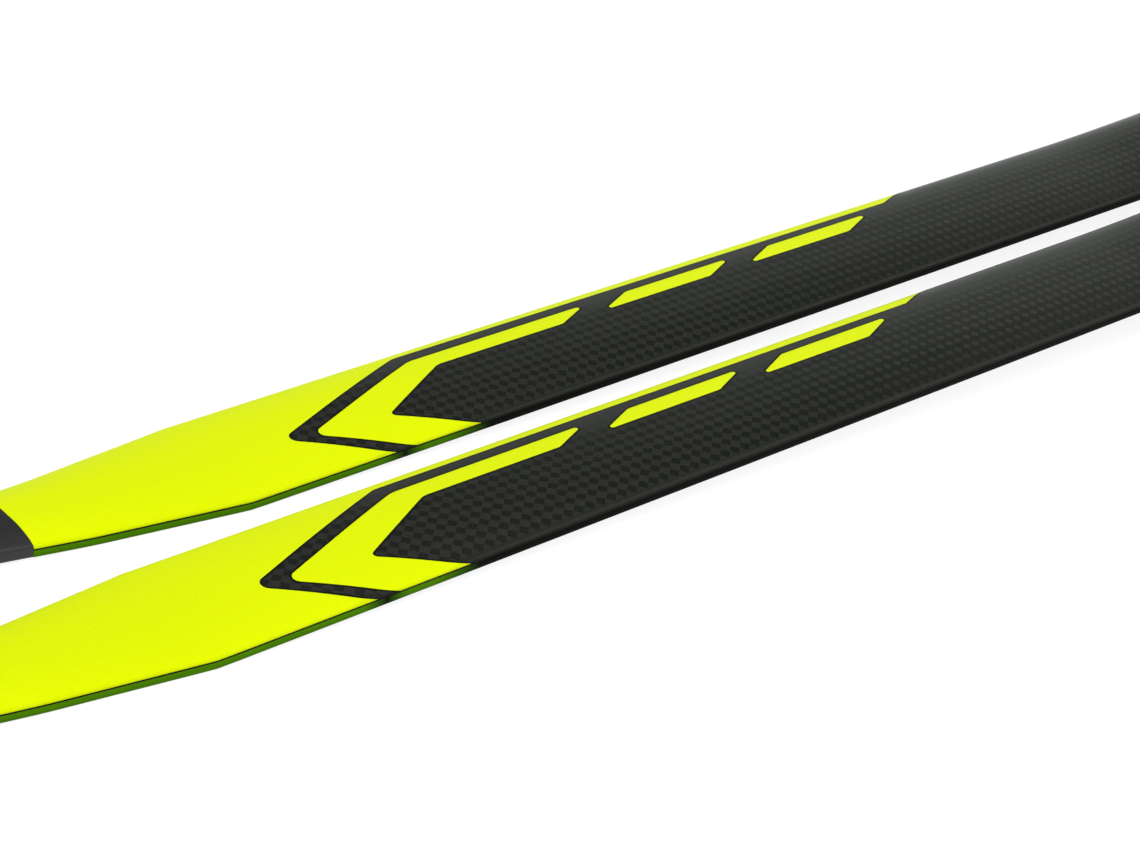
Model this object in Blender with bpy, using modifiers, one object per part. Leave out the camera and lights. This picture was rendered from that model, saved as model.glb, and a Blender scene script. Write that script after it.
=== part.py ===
"""A pair of laminated cross country skis with sliding bindings.

Units are metres. +X points to the ski tips, +Y to the left ski and +Z up. The origin is on the
floor, midway between the two skis and at half their length. Both skis are built from the same
meshes in a frame of their own: X along the ski from half its length, Y across it and Z up.
"""

import math
from collections import namedtuple

import bmesh
import bpy
from mathutils import Matrix, Vector

MM = 0.001

# How the pair lies on the floor, side by side.
PAIR_SPACING = 56.8 * MM  # between the two centre lines
PAIR_STAGGER = 47.9 * MM  # the left ski lies this far ahead

# Side view of the running base, measured along it from the tail end.
SKI_LENGTH = 1900.0 * MM
TAIL_KICK_LENGTH = 26.0 * MM
TAIL_KICK_ANGLE = 2.0
KICK_BLEND_LENGTH = 8.0 * MM
CONTACT_LENGTH = 36.0 * MM  # flat on the floor, at the tail and at the shovel
CAMBER_BLEND_LENGTH = 12.0 * MM
CAMBER_ARC_LENGTH = 200.0 * MM
CAMBER_HEIGHT = 15.0 * MM
TIP_BEND_LENGTH = 170.0 * MM
TIP_STRAIGHT_LENGTH = 60.0 * MM
TIP_ANGLE = 22.0

# Outline seen from above.
TAIL_WIDTH = 44.0 * MM
WAIST_WIDTH = 43.6 * MM
SHOVEL_WIDTH = 44.0 * MM
TAIL_END_WIDTH = 24.5 * MM
TAIL_TAPER_LENGTH = 75.0 * MM
TAIL_CORNER_RADIUS = 4.0 * MM
TIP_END_WIDTH = 18.0 * MM
TIP_TAPER_LENGTH = 225.0 * MM
TIP_TAPER_POWER = 2.2
TIP_CORNER_RADIUS = 8.0 * MM

# Cross-section: the side is upright, and the crown rises from it to the middle.
END_SIDE_HEIGHT = 2.8 * MM
WAIST_SIDE_HEIGHT = 10.0 * MM
END_CROWN = 2.0 * MM
WAIST_CROWN = 6.0 * MM
END_FLAT = 3.0 * MM  # half width of the flat strip on top of the crown
REAR_SWELL_LENGTH = 190.0 * MM  # thickness grows over this length behind the binding
FRONT_SWELL_LENGTH = 330.0 * MM

# Layers.
BASE_THICKNESS = 1.2 * MM
BASE_GROOVE_WIDTH = 4.0 * MM
BASE_GROOVE_DEPTH = 0.7 * MM
BOTTOM_LAMINATE_THICKNESS = 0.6 * MM
TOP_LAMINATE_THICKNESS = 0.8 * MM
TOP_SHEET_THICKNESS = 0.6 * MM
SIDEWALL_THICKNESS = 3.0 * MM
TAIL_PROTECTOR_LENGTH = 14.0 * MM
TIP_PROTECTOR_LENGTH = 26.0 * MM
GLUE_LINE = 0.12 * MM
FILLER_LINE = 0.25 * MM  # thicker glue under the top laminate, where the core is only milled

# Binding, measured from the boot's toe bar and from the ski's top sheet.
PLATE_REAR = 320.0 * MM
PLATE_FRONT = 118.0 * MM
PLATE_END_MARGIN = 12.0 * MM
PLATE_FOOT_WIDTH = 24.0 * MM
PLATE_FOOT_HEIGHT = 2.2 * MM
RAIL_WIDTH = 30.0 * MM
RAIL_HEIGHT = 2.4 * MM
SCREW_REAR_X = -180.0 * MM
SCREW_FRONT_X = -70.0 * MM
SCREW_SIDE_Y = 8.5 * MM
SCREW_HEAD_RADIUS = 3.2 * MM
SCREW_HEAD_DEPTH = 2.0 * MM
SCREW_SHANK_RADIUS = 1.6 * MM
SCREW_LENGTH = 14.0 * MM
SCREW_RECESS_WIDTH = 0.9 * MM
SCREW_RECESS_DEPTH = 1.1 * MM
RUNNING_GAP = 0.3 * MM  # between pieces that slide or turn on each other
SEAT_GAP = 0.2 * MM  # round pieces that are fixed in place

HOUSING_WIDTH = 40.0 * MM
HOUSING_REAR = 30.0 * MM
HOUSING_FRONT = 100.0 * MM
HOUSING_LIP_DROP = 1.4 * MM
DECK_THICKNESS = 4.1 * MM
BAR_GROOVE_RADIUS = 2.8 * MM
CHEEK_THICKNESS = 4.0 * MM
CHEEK_REAR = 12.0 * MM
CHEEK_FRONT = 52.0 * MM
CHEEK_HEIGHT = 11.0 * MM
BRIDGE_REAR = 16.0 * MM
BRIDGE_FRONT = 38.0 * MM
BRIDGE_THICKNESS = 1.7 * MM
FLEXOR_LENGTH = 13.0 * MM
FLEXOR_HEIGHT = 10.0 * MM

JAW_WIDTH = 21.6 * MM
JAW_FRONT = 50.0 * MM
JAW_THICKNESS = 2.5 * MM
JAW_RISER_REAR = 4.0 * MM
JAW_RISER_THICKNESS = 3.0 * MM
JAW_LIP_REACH = 3.0 * MM  # behind the middle of the toe bar
JAW_LIP_HEIGHT = 2.8 * MM
JAW_LIP_THICKNESS = 2.5 * MM
JAW_WINDOW_WIDTH = 16.6 * MM

LEVER_X = 44.0 * MM
LEVER_HUB_RADIUS = 3.3 * MM
LEVER_HUB_LIFT = 0.5 * MM
LEVER_ARM_WIDTH = 20.0 * MM
LEVER_ARM_THICKNESS = 3.4 * MM
LEVER_TAB_REAR = 54.0 * MM
LEVER_TAB_FRONT = 77.0 * MM
LEVER_TAB_WIDTH = 26.0 * MM
LEVER_FINGER_THICKNESS = 3.0 * MM
LEVER_FINGER_INNER = 4.0 * MM
LEVER_FINGER_OUTER = 7.5 * MM
LEVER_FINGER_LENGTH = 6.0 * MM
PIN_RADIUS = 1.5 * MM
PIN_OVERHANG = 0.4 * MM
SPRING_RADIUS = 2.3 * MM
SPRING_WIRE_RADIUS = 0.35 * MM
SPRING_TURNS = 4
SPRING_PITCH = 1.3 * MM

DIAL_X = 88.0 * MM
DIAL_RADIUS = 9.0 * MM
DIAL_HEIGHT = 4.2 * MM
DIAL_NOTCHES = 8
DIAL_NOTCH_RADIUS = 1.6 * MM
DIAL_SHAFT_RADIUS = 3.0 * MM
DIAL_GRIP_LENGTH = 15.0 * MM
DIAL_GRIP_WIDTH = 3.0 * MM
DIAL_GRIP_HEIGHT = 1.8 * MM

STRIP_WIDTH = 9.0 * MM
STRIP_THICKNESS = 1.2 * MM
STRIP_SOCKET_DEPTH = 14.0 * MM
HEEL_WIDTH = 44.0 * MM
HEEL_REAR = 290.0 * MM
HEEL_FRONT = 220.0 * MM
HEEL_PAD_LENGTH = 44.0 * MM
HEEL_PAD_WIDTH = 32.0 * MM
HEEL_PAD_RECESS = 1.2 * MM
HEEL_PAD_PROUD = 0.6 * MM

# Heights above the top sheet that several binding pieces share.
PLATE_BOTTOM = SEAT_GAP
RAIL_BOTTOM = PLATE_BOTTOM + PLATE_FOOT_HEIGHT
PLATE_TOP = RAIL_BOTTOM + RAIL_HEIGHT
CHANNEL_TOP = PLATE_TOP + RUNNING_GAP
DECK_TOP = CHANNEL_TOP + DECK_THICKNESS
LIP_TOP = RAIL_BOTTOM - RUNNING_GAP
LIP_BOTTOM = LIP_TOP - HOUSING_LIP_DROP
JAW_BOTTOM = DECK_TOP + RUNNING_GAP
JAW_TOP = JAW_BOTTOM + JAW_THICKNESS
BRIDGE_BOTTOM = JAW_TOP + RUNNING_GAP
BRIDGE_TOP = BRIDGE_BOTTOM + BRIDGE_THICKNESS
CHEEK_INNER = JAW_WIDTH / 2 + RUNNING_GAP
CHEEK_OUTER = CHEEK_INNER + CHEEK_THICKNESS
LEVER_Z = JAW_TOP + LEVER_HUB_LIFT + LEVER_HUB_RADIUS
STRIP_BOTTOM = PLATE_TOP + RUNNING_GAP
STRIP_TOP = STRIP_BOTTOM + STRIP_THICKNESS

# Lengths along the base that follow from the sizes above.
WAIST_FLAT = PLATE_FOOT_WIDTH / 2 + 1.5 * MM
PLATE_ZONE_LENGTH = PLATE_REAR + PLATE_FRONT + 2 * PLATE_END_MARGIN
REAR_END_LENGTH = TAIL_KICK_LENGTH + KICK_BLEND_LENGTH + CONTACT_LENGTH + CAMBER_BLEND_LENGTH
FRONT_END_LENGTH = CAMBER_BLEND_LENGTH + CONTACT_LENGTH + TIP_BEND_LENGTH + TIP_STRAIGHT_LENGTH
RAMP_LENGTH = (
    SKI_LENGTH - REAR_END_LENGTH - FRONT_END_LENGTH - PLATE_ZONE_LENGTH - 2 * CAMBER_ARC_LENGTH
) / 2
PLATE_ZONE_START = REAR_END_LENGTH + RAMP_LENGTH + CAMBER_ARC_LENGTH
PLATE_ZONE_END = PLATE_ZONE_START + PLATE_ZONE_LENGTH
WAIST_STATION = (PLATE_ZONE_START + PLATE_ZONE_END) / 2
BAR_STATION = PLATE_ZONE_START + PLATE_END_MARGIN + PLATE_REAR

Segment = namedtuple("Segment", "length start_angle end_angle steps")
Station = namedtuple("Station", "x z angle half_width side crown flat")


def base_line():
    """The base from tail to tip as stretches whose slope changes evenly."""
    camber = CAMBER_HEIGHT / (RAMP_LENGTH + (CAMBER_BLEND_LENGTH + CAMBER_ARC_LENGTH) / 2)
    kick = -math.radians(TAIL_KICK_ANGLE)
    tip = math.radians(TIP_ANGLE)
    return (
        Segment(TAIL_KICK_LENGTH, kick, kick, 1),
        Segment(KICK_BLEND_LENGTH, kick, 0.0, 1),
        Segment(CONTACT_LENGTH, 0.0, 0.0, 1),
        Segment(CAMBER_BLEND_LENGTH, 0.0, camber, 2),
        Segment(RAMP_LENGTH, camber, camber, 4),
        Segment(CAMBER_ARC_LENGTH, camber, 0.0, 4),
        Segment(PLATE_ZONE_LENGTH, 0.0, 0.0, 1),
        Segment(CAMBER_ARC_LENGTH, 0.0, -camber, 4),
        Segment(RAMP_LENGTH, -camber, -camber, 4),
        Segment(CAMBER_BLEND_LENGTH, -camber, 0.0, 1),
        Segment(CONTACT_LENGTH, 0.0, 0.0, 1),
        Segment(TIP_BEND_LENGTH, 0.0, tip, 6),
        Segment(TIP_STRAIGHT_LENGTH, tip, tip, 2),
    )


BASE_LINE = base_line()


def base_point(distance):
    """X from the tail end, height and slope of the base at a distance along it."""
    x = 0.0
    z = 0.0
    angle = BASE_LINE[0].start_angle
    left = distance
    for segment in BASE_LINE:
        run = min(left, segment.length)
        bend = (segment.end_angle - segment.start_angle) / segment.length
        slices = 12
        for i in range(slices):
            middle = segment.start_angle + bend * run * (i + 0.5) / slices
            x += math.cos(middle) * run / slices
            z += math.sin(middle) * run / slices
        angle = segment.start_angle + bend * run
        left -= run
        if left <= 0.0:
            break
    return x, z, angle


HALF_RUN = base_point(SKI_LENGTH)[0] / 2
FLOOR = base_point(TAIL_KICK_LENGTH + KICK_BLEND_LENGTH)[1]


def ease(value):
    """0 to 1 with level ends."""
    value = min(1.0, max(0.0, value))
    return value * value * (3.0 - 2.0 * value)


def blend(start, end, value):
    return start + (end - start) * ease(value)


def half_width(distance):
    """Half the ski's width, without its rounded end corners."""
    tip_start = SKI_LENGTH - TIP_TAPER_LENGTH
    if distance < TAIL_TAPER_LENGTH:
        return (TAIL_END_WIDTH + (TAIL_WIDTH - TAIL_END_WIDTH) * distance / TAIL_TAPER_LENGTH) / 2
    if distance < WAIST_STATION:
        part = (distance - TAIL_TAPER_LENGTH) / (WAIST_STATION - TAIL_TAPER_LENGTH)
        return blend(TAIL_WIDTH, WAIST_WIDTH, part) / 2
    if distance < tip_start:
        part = (distance - WAIST_STATION) / (tip_start - WAIST_STATION)
        return blend(WAIST_WIDTH, SHOVEL_WIDTH, part) / 2
    part = min(1.0, (distance - tip_start) / TIP_TAPER_LENGTH)
    return (SHOVEL_WIDTH - (SHOVEL_WIDTH - TIP_END_WIDTH) * part ** TIP_TAPER_POWER) / 2


def swell(distance):
    """0 at the thin ends of the ski, 1 where it is full under the binding."""
    if distance < WAIST_STATION:
        return ease((distance - PLATE_ZONE_START + REAR_SWELL_LENGTH) / REAR_SWELL_LENGTH)
    return ease((PLATE_ZONE_END + FRONT_SWELL_LENGTH - distance) / FRONT_SWELL_LENGTH)


def corner_inset(distance, radius):
    """How far a round corner draws the outline in, at a distance from the end."""
    if distance >= radius:
        return 0.0
    return radius - math.sqrt(radius * radius - (radius - distance) ** 2)


def station(distance):
    x, z, angle = base_point(distance)
    full = swell(distance)
    width = half_width(distance)
    width -= corner_inset(distance, TAIL_CORNER_RADIUS)
    width -= corner_inset(SKI_LENGTH - distance, TIP_CORNER_RADIUS)
    return Station(
        x=x - HALF_RUN,
        z=z - FLOOR,
        angle=angle,
        half_width=width,
        side=END_SIDE_HEIGHT + (WAIST_SIDE_HEIGHT - END_SIDE_HEIGHT) * full,
        crown=END_CROWN + (WAIST_CROWN - END_CROWN) * full,
        flat=min(END_FLAT + (WAIST_FLAT - END_FLAT) * full, 0.5 * width),
    )


def distances(start, end):
    """The two ends and every change of slope or outline between them."""
    marks = {start, end, TAIL_TAPER_LENGTH}
    position = 0.0
    for segment in BASE_LINE:
        for i in range(segment.steps):
            marks.add(position + segment.length * i / segment.steps)
        position += segment.length
    inside = sorted(mark for mark in marks if start <= mark <= end)
    kept = inside[:1]
    for mark in inside[1:]:
        if mark - kept[-1] > 1.0 * MM:
            kept.append(mark)
    kept[-1] = end
    return kept


def crown_places(s):
    """Places across the crown from edge to edge, closer together near the edges."""
    outer = s.half_width - s.flat
    left = [s.half_width, s.flat + 0.8 * outer, s.flat + 0.5 * outer, s.flat]
    return left + [-y for y in reversed(left)]


def crown_curve(s, y):
    """Height of the round crown over the base."""
    rise = max(0.0, abs(y) - s.flat) / (s.half_width - s.flat)
    return s.side + GLUE_LINE + TOP_SHEET_THICKNESS + s.crown * (1.0 - min(1.0, rise) ** 2)


def top_height(s, y):
    """Height of the finished top, which runs straight from place to place of the crown."""
    places = crown_places(s)
    for left, right in zip(places, places[1:]):
        if right <= y <= left:
            part = (y - right) / (left - right)
            return crown_curve(s, right) + (crown_curve(s, left) - crown_curve(s, right)) * part
    return crown_curve(s, y)


def sheet_ring(s, depth, thickness):
    """Section of a crowned layer whose top lies at a depth below the finished top."""
    places = crown_places(s)
    upper = [(y, top_height(s, y) - depth) for y in places]
    lower = [(y, top_height(s, y) - depth - thickness) for y in reversed(places)]
    return upper + lower


def top_sheet_ring(s):
    return sheet_ring(s, 0.0, TOP_SHEET_THICKNESS)


def top_laminate_ring(s):
    return sheet_ring(s, TOP_SHEET_THICKNESS + GLUE_LINE, TOP_LAMINATE_THICKNESS)


CORE_DEPTH = TOP_SHEET_THICKNESS + GLUE_LINE + TOP_LAMINATE_THICKNESS + FILLER_LINE
CORE_BOTTOM = BASE_THICKNESS + BOTTOM_LAMINATE_THICKNESS + 2 * GLUE_LINE


def inner_half(s):
    return s.half_width - SIDEWALL_THICKNESS - GLUE_LINE


def core_ring(s):
    half = inner_half(s)
    inside = [y for y in crown_places(s) if abs(y) <= s.flat + 0.6 * (s.half_width - s.flat)]
    upper = [(y, top_height(s, y) - CORE_DEPTH) for y in [half, *inside, -half]]
    return upper + [(-half, CORE_BOTTOM), (half, CORE_BOTTOM)]


def bottom_laminate_ring(s):
    half = inner_half(s)
    low = BASE_THICKNESS + GLUE_LINE
    high = low + BOTTOM_LAMINATE_THICKNESS
    return [(half, high), (-half, high), (-half, low), (half, low)]


def base_ring(s):
    half = inner_half(s)
    groove = BASE_GROOVE_WIDTH / 2
    floor = 0.6 * groove
    return [
        (half, BASE_THICKNESS),
        (-half, BASE_THICKNESS),
        (-half, 0.0),
        (-groove, 0.0),
        (-floor, BASE_GROOVE_DEPTH),
        (floor, BASE_GROOVE_DEPTH),
        (groove, 0.0),
        (half, 0.0),
    ]


def sidewall_ring(s):
    """Sidewall on the +Y side, under the edge of the top laminate."""
    inner = s.half_width - SIDEWALL_THICKNESS
    return [
        (s.half_width, top_height(s, s.half_width) - CORE_DEPTH),
        (inner, top_height(s, inner) - CORE_DEPTH),
        (inner, 0.0),
        (s.half_width, 0.0),
    ]


def mirrored_sidewall_ring(s):
    return [(-y, z) for y, z in reversed(sidewall_ring(s))]


def end_ring(s):
    """The whole section, for the protectors at the tail and the tip."""
    upper = [(y, top_height(s, y)) for y in crown_places(s)]
    return upper + [(-s.half_width, 0.0), (s.half_width, 0.0)]


def loft(name, places, ring):
    """A closed solid through one section at each place along the ski."""
    mesh = bpy.data.meshes.new(name)
    build = bmesh.new()
    rings = []
    for place in places:
        s = station(place)
        row = []
        for y, height in ring(s):
            x = s.x - height * math.sin(s.angle)
            z = s.z + height * math.cos(s.angle)
            row.append(build.verts.new((x, y, z)))
        rings.append(row)
    for near, far in zip(rings, rings[1:]):
        for i, corner in enumerate(near):
            j = (i + 1) % len(near)
            # One slant for every layer, so that neighbouring layers stay apart.
            if corner.co.y >= near[j].co.y:
                build.faces.new((corner, far[i], far[j]))
                build.faces.new((corner, far[j], near[j]))
            else:
                build.faces.new((corner, far[i], near[j]))
                build.faces.new((near[j], far[i], far[j]))
    build.faces.new(rings[0])
    build.faces.new(reversed(rings[-1]))
    bmesh.ops.recalc_face_normals(build, faces=build.faces)
    build.to_mesh(mesh)
    build.free()
    return mesh


def finish(build, name):
    mesh = bpy.data.meshes.new(name)
    bmesh.ops.recalc_face_normals(build, faces=build.faces)
    build.to_mesh(mesh)
    build.free()
    return mesh


def box(low, high, bevel=0.0):
    """A box between two corners, with its edges rounded where a bevel is given."""
    low = Vector(low)
    high = Vector(high)
    size = high - low
    build = bmesh.new()
    place = Matrix.Translation((low + high) / 2) @ Matrix.Diagonal((*size, 1.0))
    bmesh.ops.create_cube(build, size=1.0, matrix=place)
    if bevel:
        bmesh.ops.bevel(build, geom=build.edges[:], offset=bevel, segments=2, profile=0.5, affect="EDGES")
    return finish(build, "box")


def cross_bar(x, z, radius, half_length, sides=16):
    """A round bar across the ski."""
    build = bmesh.new()
    place = Matrix.Translation((x, 0.0, z)) @ Matrix.Rotation(math.pi / 2, 4, "X")
    bmesh.ops.create_cone(
        build,
        cap_ends=True,
        segments=sides,
        radius1=radius,
        radius2=radius,
        depth=2 * half_length,
        matrix=place,
    )
    return finish(build, "cross_bar")


def upright(x, y, low, high, radius, sides=20):
    """A round upright between two heights."""
    build = bmesh.new()
    place = Matrix.Translation((x, y, (low + high) / 2))
    bmesh.ops.create_cone(
        build,
        cap_ends=True,
        segments=sides,
        radius1=radius,
        radius2=radius,
        depth=high - low,
        matrix=place,
    )
    return finish(build, "upright")


def prism(outline, half):
    """A side view, as points of X and Z, drawn out to both sides of the centre line."""
    build = bmesh.new()
    corners = [build.verts.new((x, -half, z)) for x, z in outline]
    face = build.faces.new(corners)
    drawn = bmesh.ops.extrude_face_region(build, geom=[face])
    moved = [part for part in drawn["geom"] if isinstance(part, bmesh.types.BMVert)]
    bmesh.ops.translate(build, verts=moved, vec=(0.0, 2 * half, 0.0))
    return finish(build, "prism")


def evaluated(thing):
    """The mesh of an object after its modifiers, or of a curve after its bevel."""
    depsgraph = bpy.context.evaluated_depsgraph_get()
    mesh = bpy.data.meshes.new_from_object(thing.evaluated_get(depsgraph))
    build = bmesh.new()
    build.from_mesh(mesh)
    bmesh.ops.remove_doubles(build, verts=build.verts, dist=0.002 * MM)
    build.to_mesh(mesh)
    build.free()
    return mesh


def turned(profile, sides, place=(0.0, 0.0, 0.0)):
    """A profile of radius and height, from top to bottom, turned about an upright axis."""
    mesh = bpy.data.meshes.new("profile")
    edges = [(i, i + 1) for i in range(len(profile) - 1)]
    mesh.from_pydata([(radius, 0.0, z) for radius, z in profile], edges, [])
    thing = bpy.data.objects.new("profile", mesh)
    cutters.objects.link(thing)
    screw = thing.modifiers.new("turn", "SCREW")
    screw.axis = "Z"
    screw.steps = sides
    screw.render_steps = sides
    screw.use_merge_vertices = True
    screw.merge_threshold = 0.001 * MM
    solid = evaluated(thing)
    bpy.data.objects.remove(thing)
    solid.transform(Matrix.Translation(place))
    return solid


def combined(body, join=(), cut=()):
    """A body with some solids joined to it and others then cut out of it."""
    thing = bpy.data.objects.new("body", body)
    cutters.objects.link(thing)
    helpers = []
    for operation, meshes in (("UNION", join), ("DIFFERENCE", cut)):
        for mesh in meshes:
            helper = bpy.data.objects.new("helper", mesh)
            helper.hide_render = True
            helper.display_type = "WIRE"
            cutters.objects.link(helper)
            helpers.append(helper)
            modifier = thing.modifiers.new(operation, "BOOLEAN")
            modifier.operation = operation
            modifier.solver = "EXACT"
            modifier.object = helper
    solid = evaluated(thing)
    for helper in helpers + [thing]:
        bpy.data.objects.remove(helper)
    return solid


def screw_places():
    return [
        (x, y)
        for x in (SCREW_REAR_X, SCREW_FRONT_X)
        for y in (-SCREW_SIDE_Y, SCREW_SIDE_Y)
    ]


def screw_hole(x, y):
    """Countersunk hole through the plate and into the ski, a fit gap wider than its screw."""
    head = SCREW_HEAD_RADIUS + SEAT_GAP
    shank = SCREW_SHANK_RADIUS + SEAT_GAP
    bottom = PLATE_TOP - SCREW_LENGTH - 2 * SEAT_GAP
    profile = (
        (0.0, PLATE_TOP + 1.0 * MM),
        (head, PLATE_TOP + 1.0 * MM),
        (head, PLATE_TOP - 0.4 * MM - SEAT_GAP),
        (shank, PLATE_TOP - SCREW_HEAD_DEPTH - SEAT_GAP),
        (shank, bottom),
        (0.0, bottom),
    )
    return turned(profile, 12, (x, y, 0.0))


def plate_screw():
    """Countersunk screw with a cross recess; its head ends just below the plate's top."""
    top = -SEAT_GAP
    profile = (
        (0.0, top),
        (SCREW_HEAD_RADIUS, top),
        (SCREW_HEAD_RADIUS, top - 0.3 * MM),
        (SCREW_SHANK_RADIUS, -SCREW_HEAD_DEPTH),
        (SCREW_SHANK_RADIUS, -SCREW_LENGTH + 2.0 * MM),
        (0.0, -SCREW_LENGTH),
    )
    reach = 0.6 * SCREW_HEAD_RADIUS
    half = SCREW_RECESS_WIDTH / 2
    low = top - SCREW_RECESS_DEPTH
    recess = (
        box((-reach, -half, low), (reach, half, 1.0 * MM)),
        box((-half, -reach, low), (half, reach, 1.0 * MM)),
    )
    return combined(turned(profile, 12), cut=recess)


def rail_channel(rear, front):
    """Cutters for the running channel of a piece that rides on the plate's rail."""
    rail = RAIL_WIDTH / 2 + RUNNING_GAP
    foot = PLATE_FOOT_WIDTH / 2 + RUNNING_GAP
    past = 1.0 * MM
    return (
        box((rear - past, -rail, LIP_TOP), (front + past, rail, CHANNEL_TOP)),
        box((rear - past, -foot, LIP_BOTTOM - past), (front + past, foot, LIP_TOP + past)),
    )


def binding_plate():
    foot = PLATE_FOOT_WIDTH / 2
    rail = RAIL_WIDTH / 2
    overlap = 0.5 * MM
    body = box((-PLATE_REAR, -rail, RAIL_BOTTOM), (PLATE_FRONT, rail, PLATE_TOP))
    stem = box((-PLATE_REAR, -foot, PLATE_BOTTOM), (PLATE_FRONT, foot, RAIL_BOTTOM + overlap))
    return combined(body, join=[stem], cut=[screw_hole(x, y) for x, y in screw_places()])


def strip_socket(inner, outer):
    half = STRIP_WIDTH / 2 + SEAT_GAP
    low = CHANNEL_TOP - 0.5 * MM
    return box((inner, -half, low), (outer, half, STRIP_TOP + SEAT_GAP))


def toe_housing():
    """Sliding housing: deck with the toe bar groove, two cheeks and the bridge between them."""
    half = HOUSING_WIDTH / 2
    overlap = 0.5 * MM
    outline = (
        (-HOUSING_REAR, LIP_BOTTOM),
        (HOUSING_FRONT, LIP_BOTTOM),
        (HOUSING_FRONT, DECK_TOP - 3.0 * MM),
        (HOUSING_FRONT - 3.0 * MM, DECK_TOP),
        (-HOUSING_REAR + 4.0 * MM, DECK_TOP),
        (-HOUSING_REAR, DECK_TOP - 2.0 * MM),
    )
    cheek_top = DECK_TOP + CHEEK_HEIGHT
    cheek_outline = (
        (CHEEK_REAR, DECK_TOP - overlap),
        (CHEEK_FRONT, DECK_TOP - overlap),
        (CHEEK_FRONT, cheek_top - 3.0 * MM),
        (CHEEK_FRONT - 3.0 * MM, cheek_top),
        (CHEEK_REAR + 8.0 * MM, cheek_top),
        (CHEEK_REAR, DECK_TOP + 3.0 * MM),
    )
    cheeks = []
    for side in (-1, 1):
        cheek = prism(cheek_outline, CHEEK_THICKNESS / 2)
        cheek.transform(Matrix.Translation((0.0, side * (CHEEK_INNER + CHEEK_OUTER) / 2, 0.0)))
        cheeks.append(cheek)
    bridge = box(
        (BRIDGE_REAR, -CHEEK_INNER - overlap, BRIDGE_BOTTOM),
        (BRIDGE_FRONT, CHEEK_INNER + overlap, BRIDGE_TOP),
    )
    cut = [
        *rail_channel(-HOUSING_REAR, HOUSING_FRONT),
        cross_bar(0.0, DECK_TOP, BAR_GROOVE_RADIUS, HOUSING_WIDTH),
        cross_bar(LEVER_X, LEVER_Z, PIN_RADIUS + RUNNING_GAP, HOUSING_WIDTH),
        upright(DIAL_X, 0.0, CHANNEL_TOP - overlap, DECK_TOP + overlap, DIAL_SHAFT_RADIUS + RUNNING_GAP),
        strip_socket(-HOUSING_REAR - 1.0 * MM, -HOUSING_REAR + STRIP_SOCKET_DEPTH),
    ]
    return combined(prism(outline, half), join=[*cheeks, bridge], cut=cut)


def flexor():
    """Rubber bumper that stands on the bridge, between the cheeks."""
    half = CHEEK_INNER - RUNNING_GAP
    low = BRIDGE_TOP + RUNNING_GAP
    rear = BRIDGE_REAR + 0.5 * MM
    return box((rear, -half, low), (rear + FLEXOR_LENGTH, half, low + FLEXOR_HEIGHT), bevel=1.5 * MM)


def latch_jaw():
    """Sliding plate with a lip over the toe bar and a window for the lever's fingers."""
    half = JAW_WIDTH / 2
    lip_bottom = DECK_TOP + JAW_LIP_HEIGHT
    lip_top = lip_bottom + JAW_LIP_THICKNESS
    riser_front = JAW_RISER_REAR + JAW_RISER_THICKNESS
    outline = (
        (JAW_RISER_REAR, JAW_BOTTOM),
        (JAW_FRONT, JAW_BOTTOM),
        (JAW_FRONT, JAW_TOP),
        (riser_front, JAW_TOP),
        (riser_front, lip_top),
        (-JAW_LIP_REACH + 1.5 * MM, lip_top),
        (-JAW_LIP_REACH, lip_bottom + 0.6 * MM),
        (-JAW_LIP_REACH + 0.6 * MM, lip_bottom),
        (JAW_RISER_REAR, lip_bottom),
    )
    window = box(
        (LEVER_X - 1.5 * LEVER_FINGER_THICKNESS, -JAW_WINDOW_WIDTH / 2, JAW_BOTTOM - 1.0 * MM),
        (LEVER_X + 0.75 * LEVER_FINGER_THICKNESS, JAW_WINDOW_WIDTH / 2, JAW_TOP + 1.0 * MM),
    )
    return combined(prism(outline, half), cut=[window])


def release_lever():
    """Lever about its pin, at rest along the ski, with its finger tab to the front."""
    half = CHEEK_INNER - RUNNING_GAP
    top = LEVER_HUB_RADIUS
    bottom = top - LEVER_ARM_THICKNESS
    hub = cross_bar(0.0, 0.0, LEVER_HUB_RADIUS, half)
    arm = box((0.0, -LEVER_ARM_WIDTH / 2, bottom), (LEVER_TAB_FRONT - LEVER_X - 2.0 * MM, LEVER_ARM_WIDTH / 2, top))
    tab = box(
        (LEVER_TAB_REAR - LEVER_X, -LEVER_TAB_WIDTH / 2, bottom),
        (LEVER_TAB_FRONT - LEVER_X, LEVER_TAB_WIDTH / 2, top),
        bevel=1.0 * MM,
    )
    thick = LEVER_FINGER_THICKNESS / 2
    fingers = []
    for side in (-1, 1):
        inner = side * LEVER_FINGER_INNER
        outer = side * LEVER_FINGER_OUTER
        fingers.append(
            box((-thick, min(inner, outer), -LEVER_FINGER_LENGTH), (thick, max(inner, outer), 0.0))
        )
    spring_half = SPRING_TURNS * SPRING_PITCH / 2 + SPRING_WIRE_RADIUS + RUNNING_GAP
    spring_room = LEVER_HUB_RADIUS + RUNNING_GAP
    cut = [
        cross_bar(0.0, 0.0, spring_room, spring_half),
        cross_bar(0.0, 0.0, PIN_RADIUS + RUNNING_GAP, HOUSING_WIDTH),
    ]
    return combined(hub, join=[arm, tab, *fingers], cut=cut)


def lever_pin():
    return cross_bar(0.0, 0.0, PIN_RADIUS, CHEEK_OUTER + PIN_OVERHANG)


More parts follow.
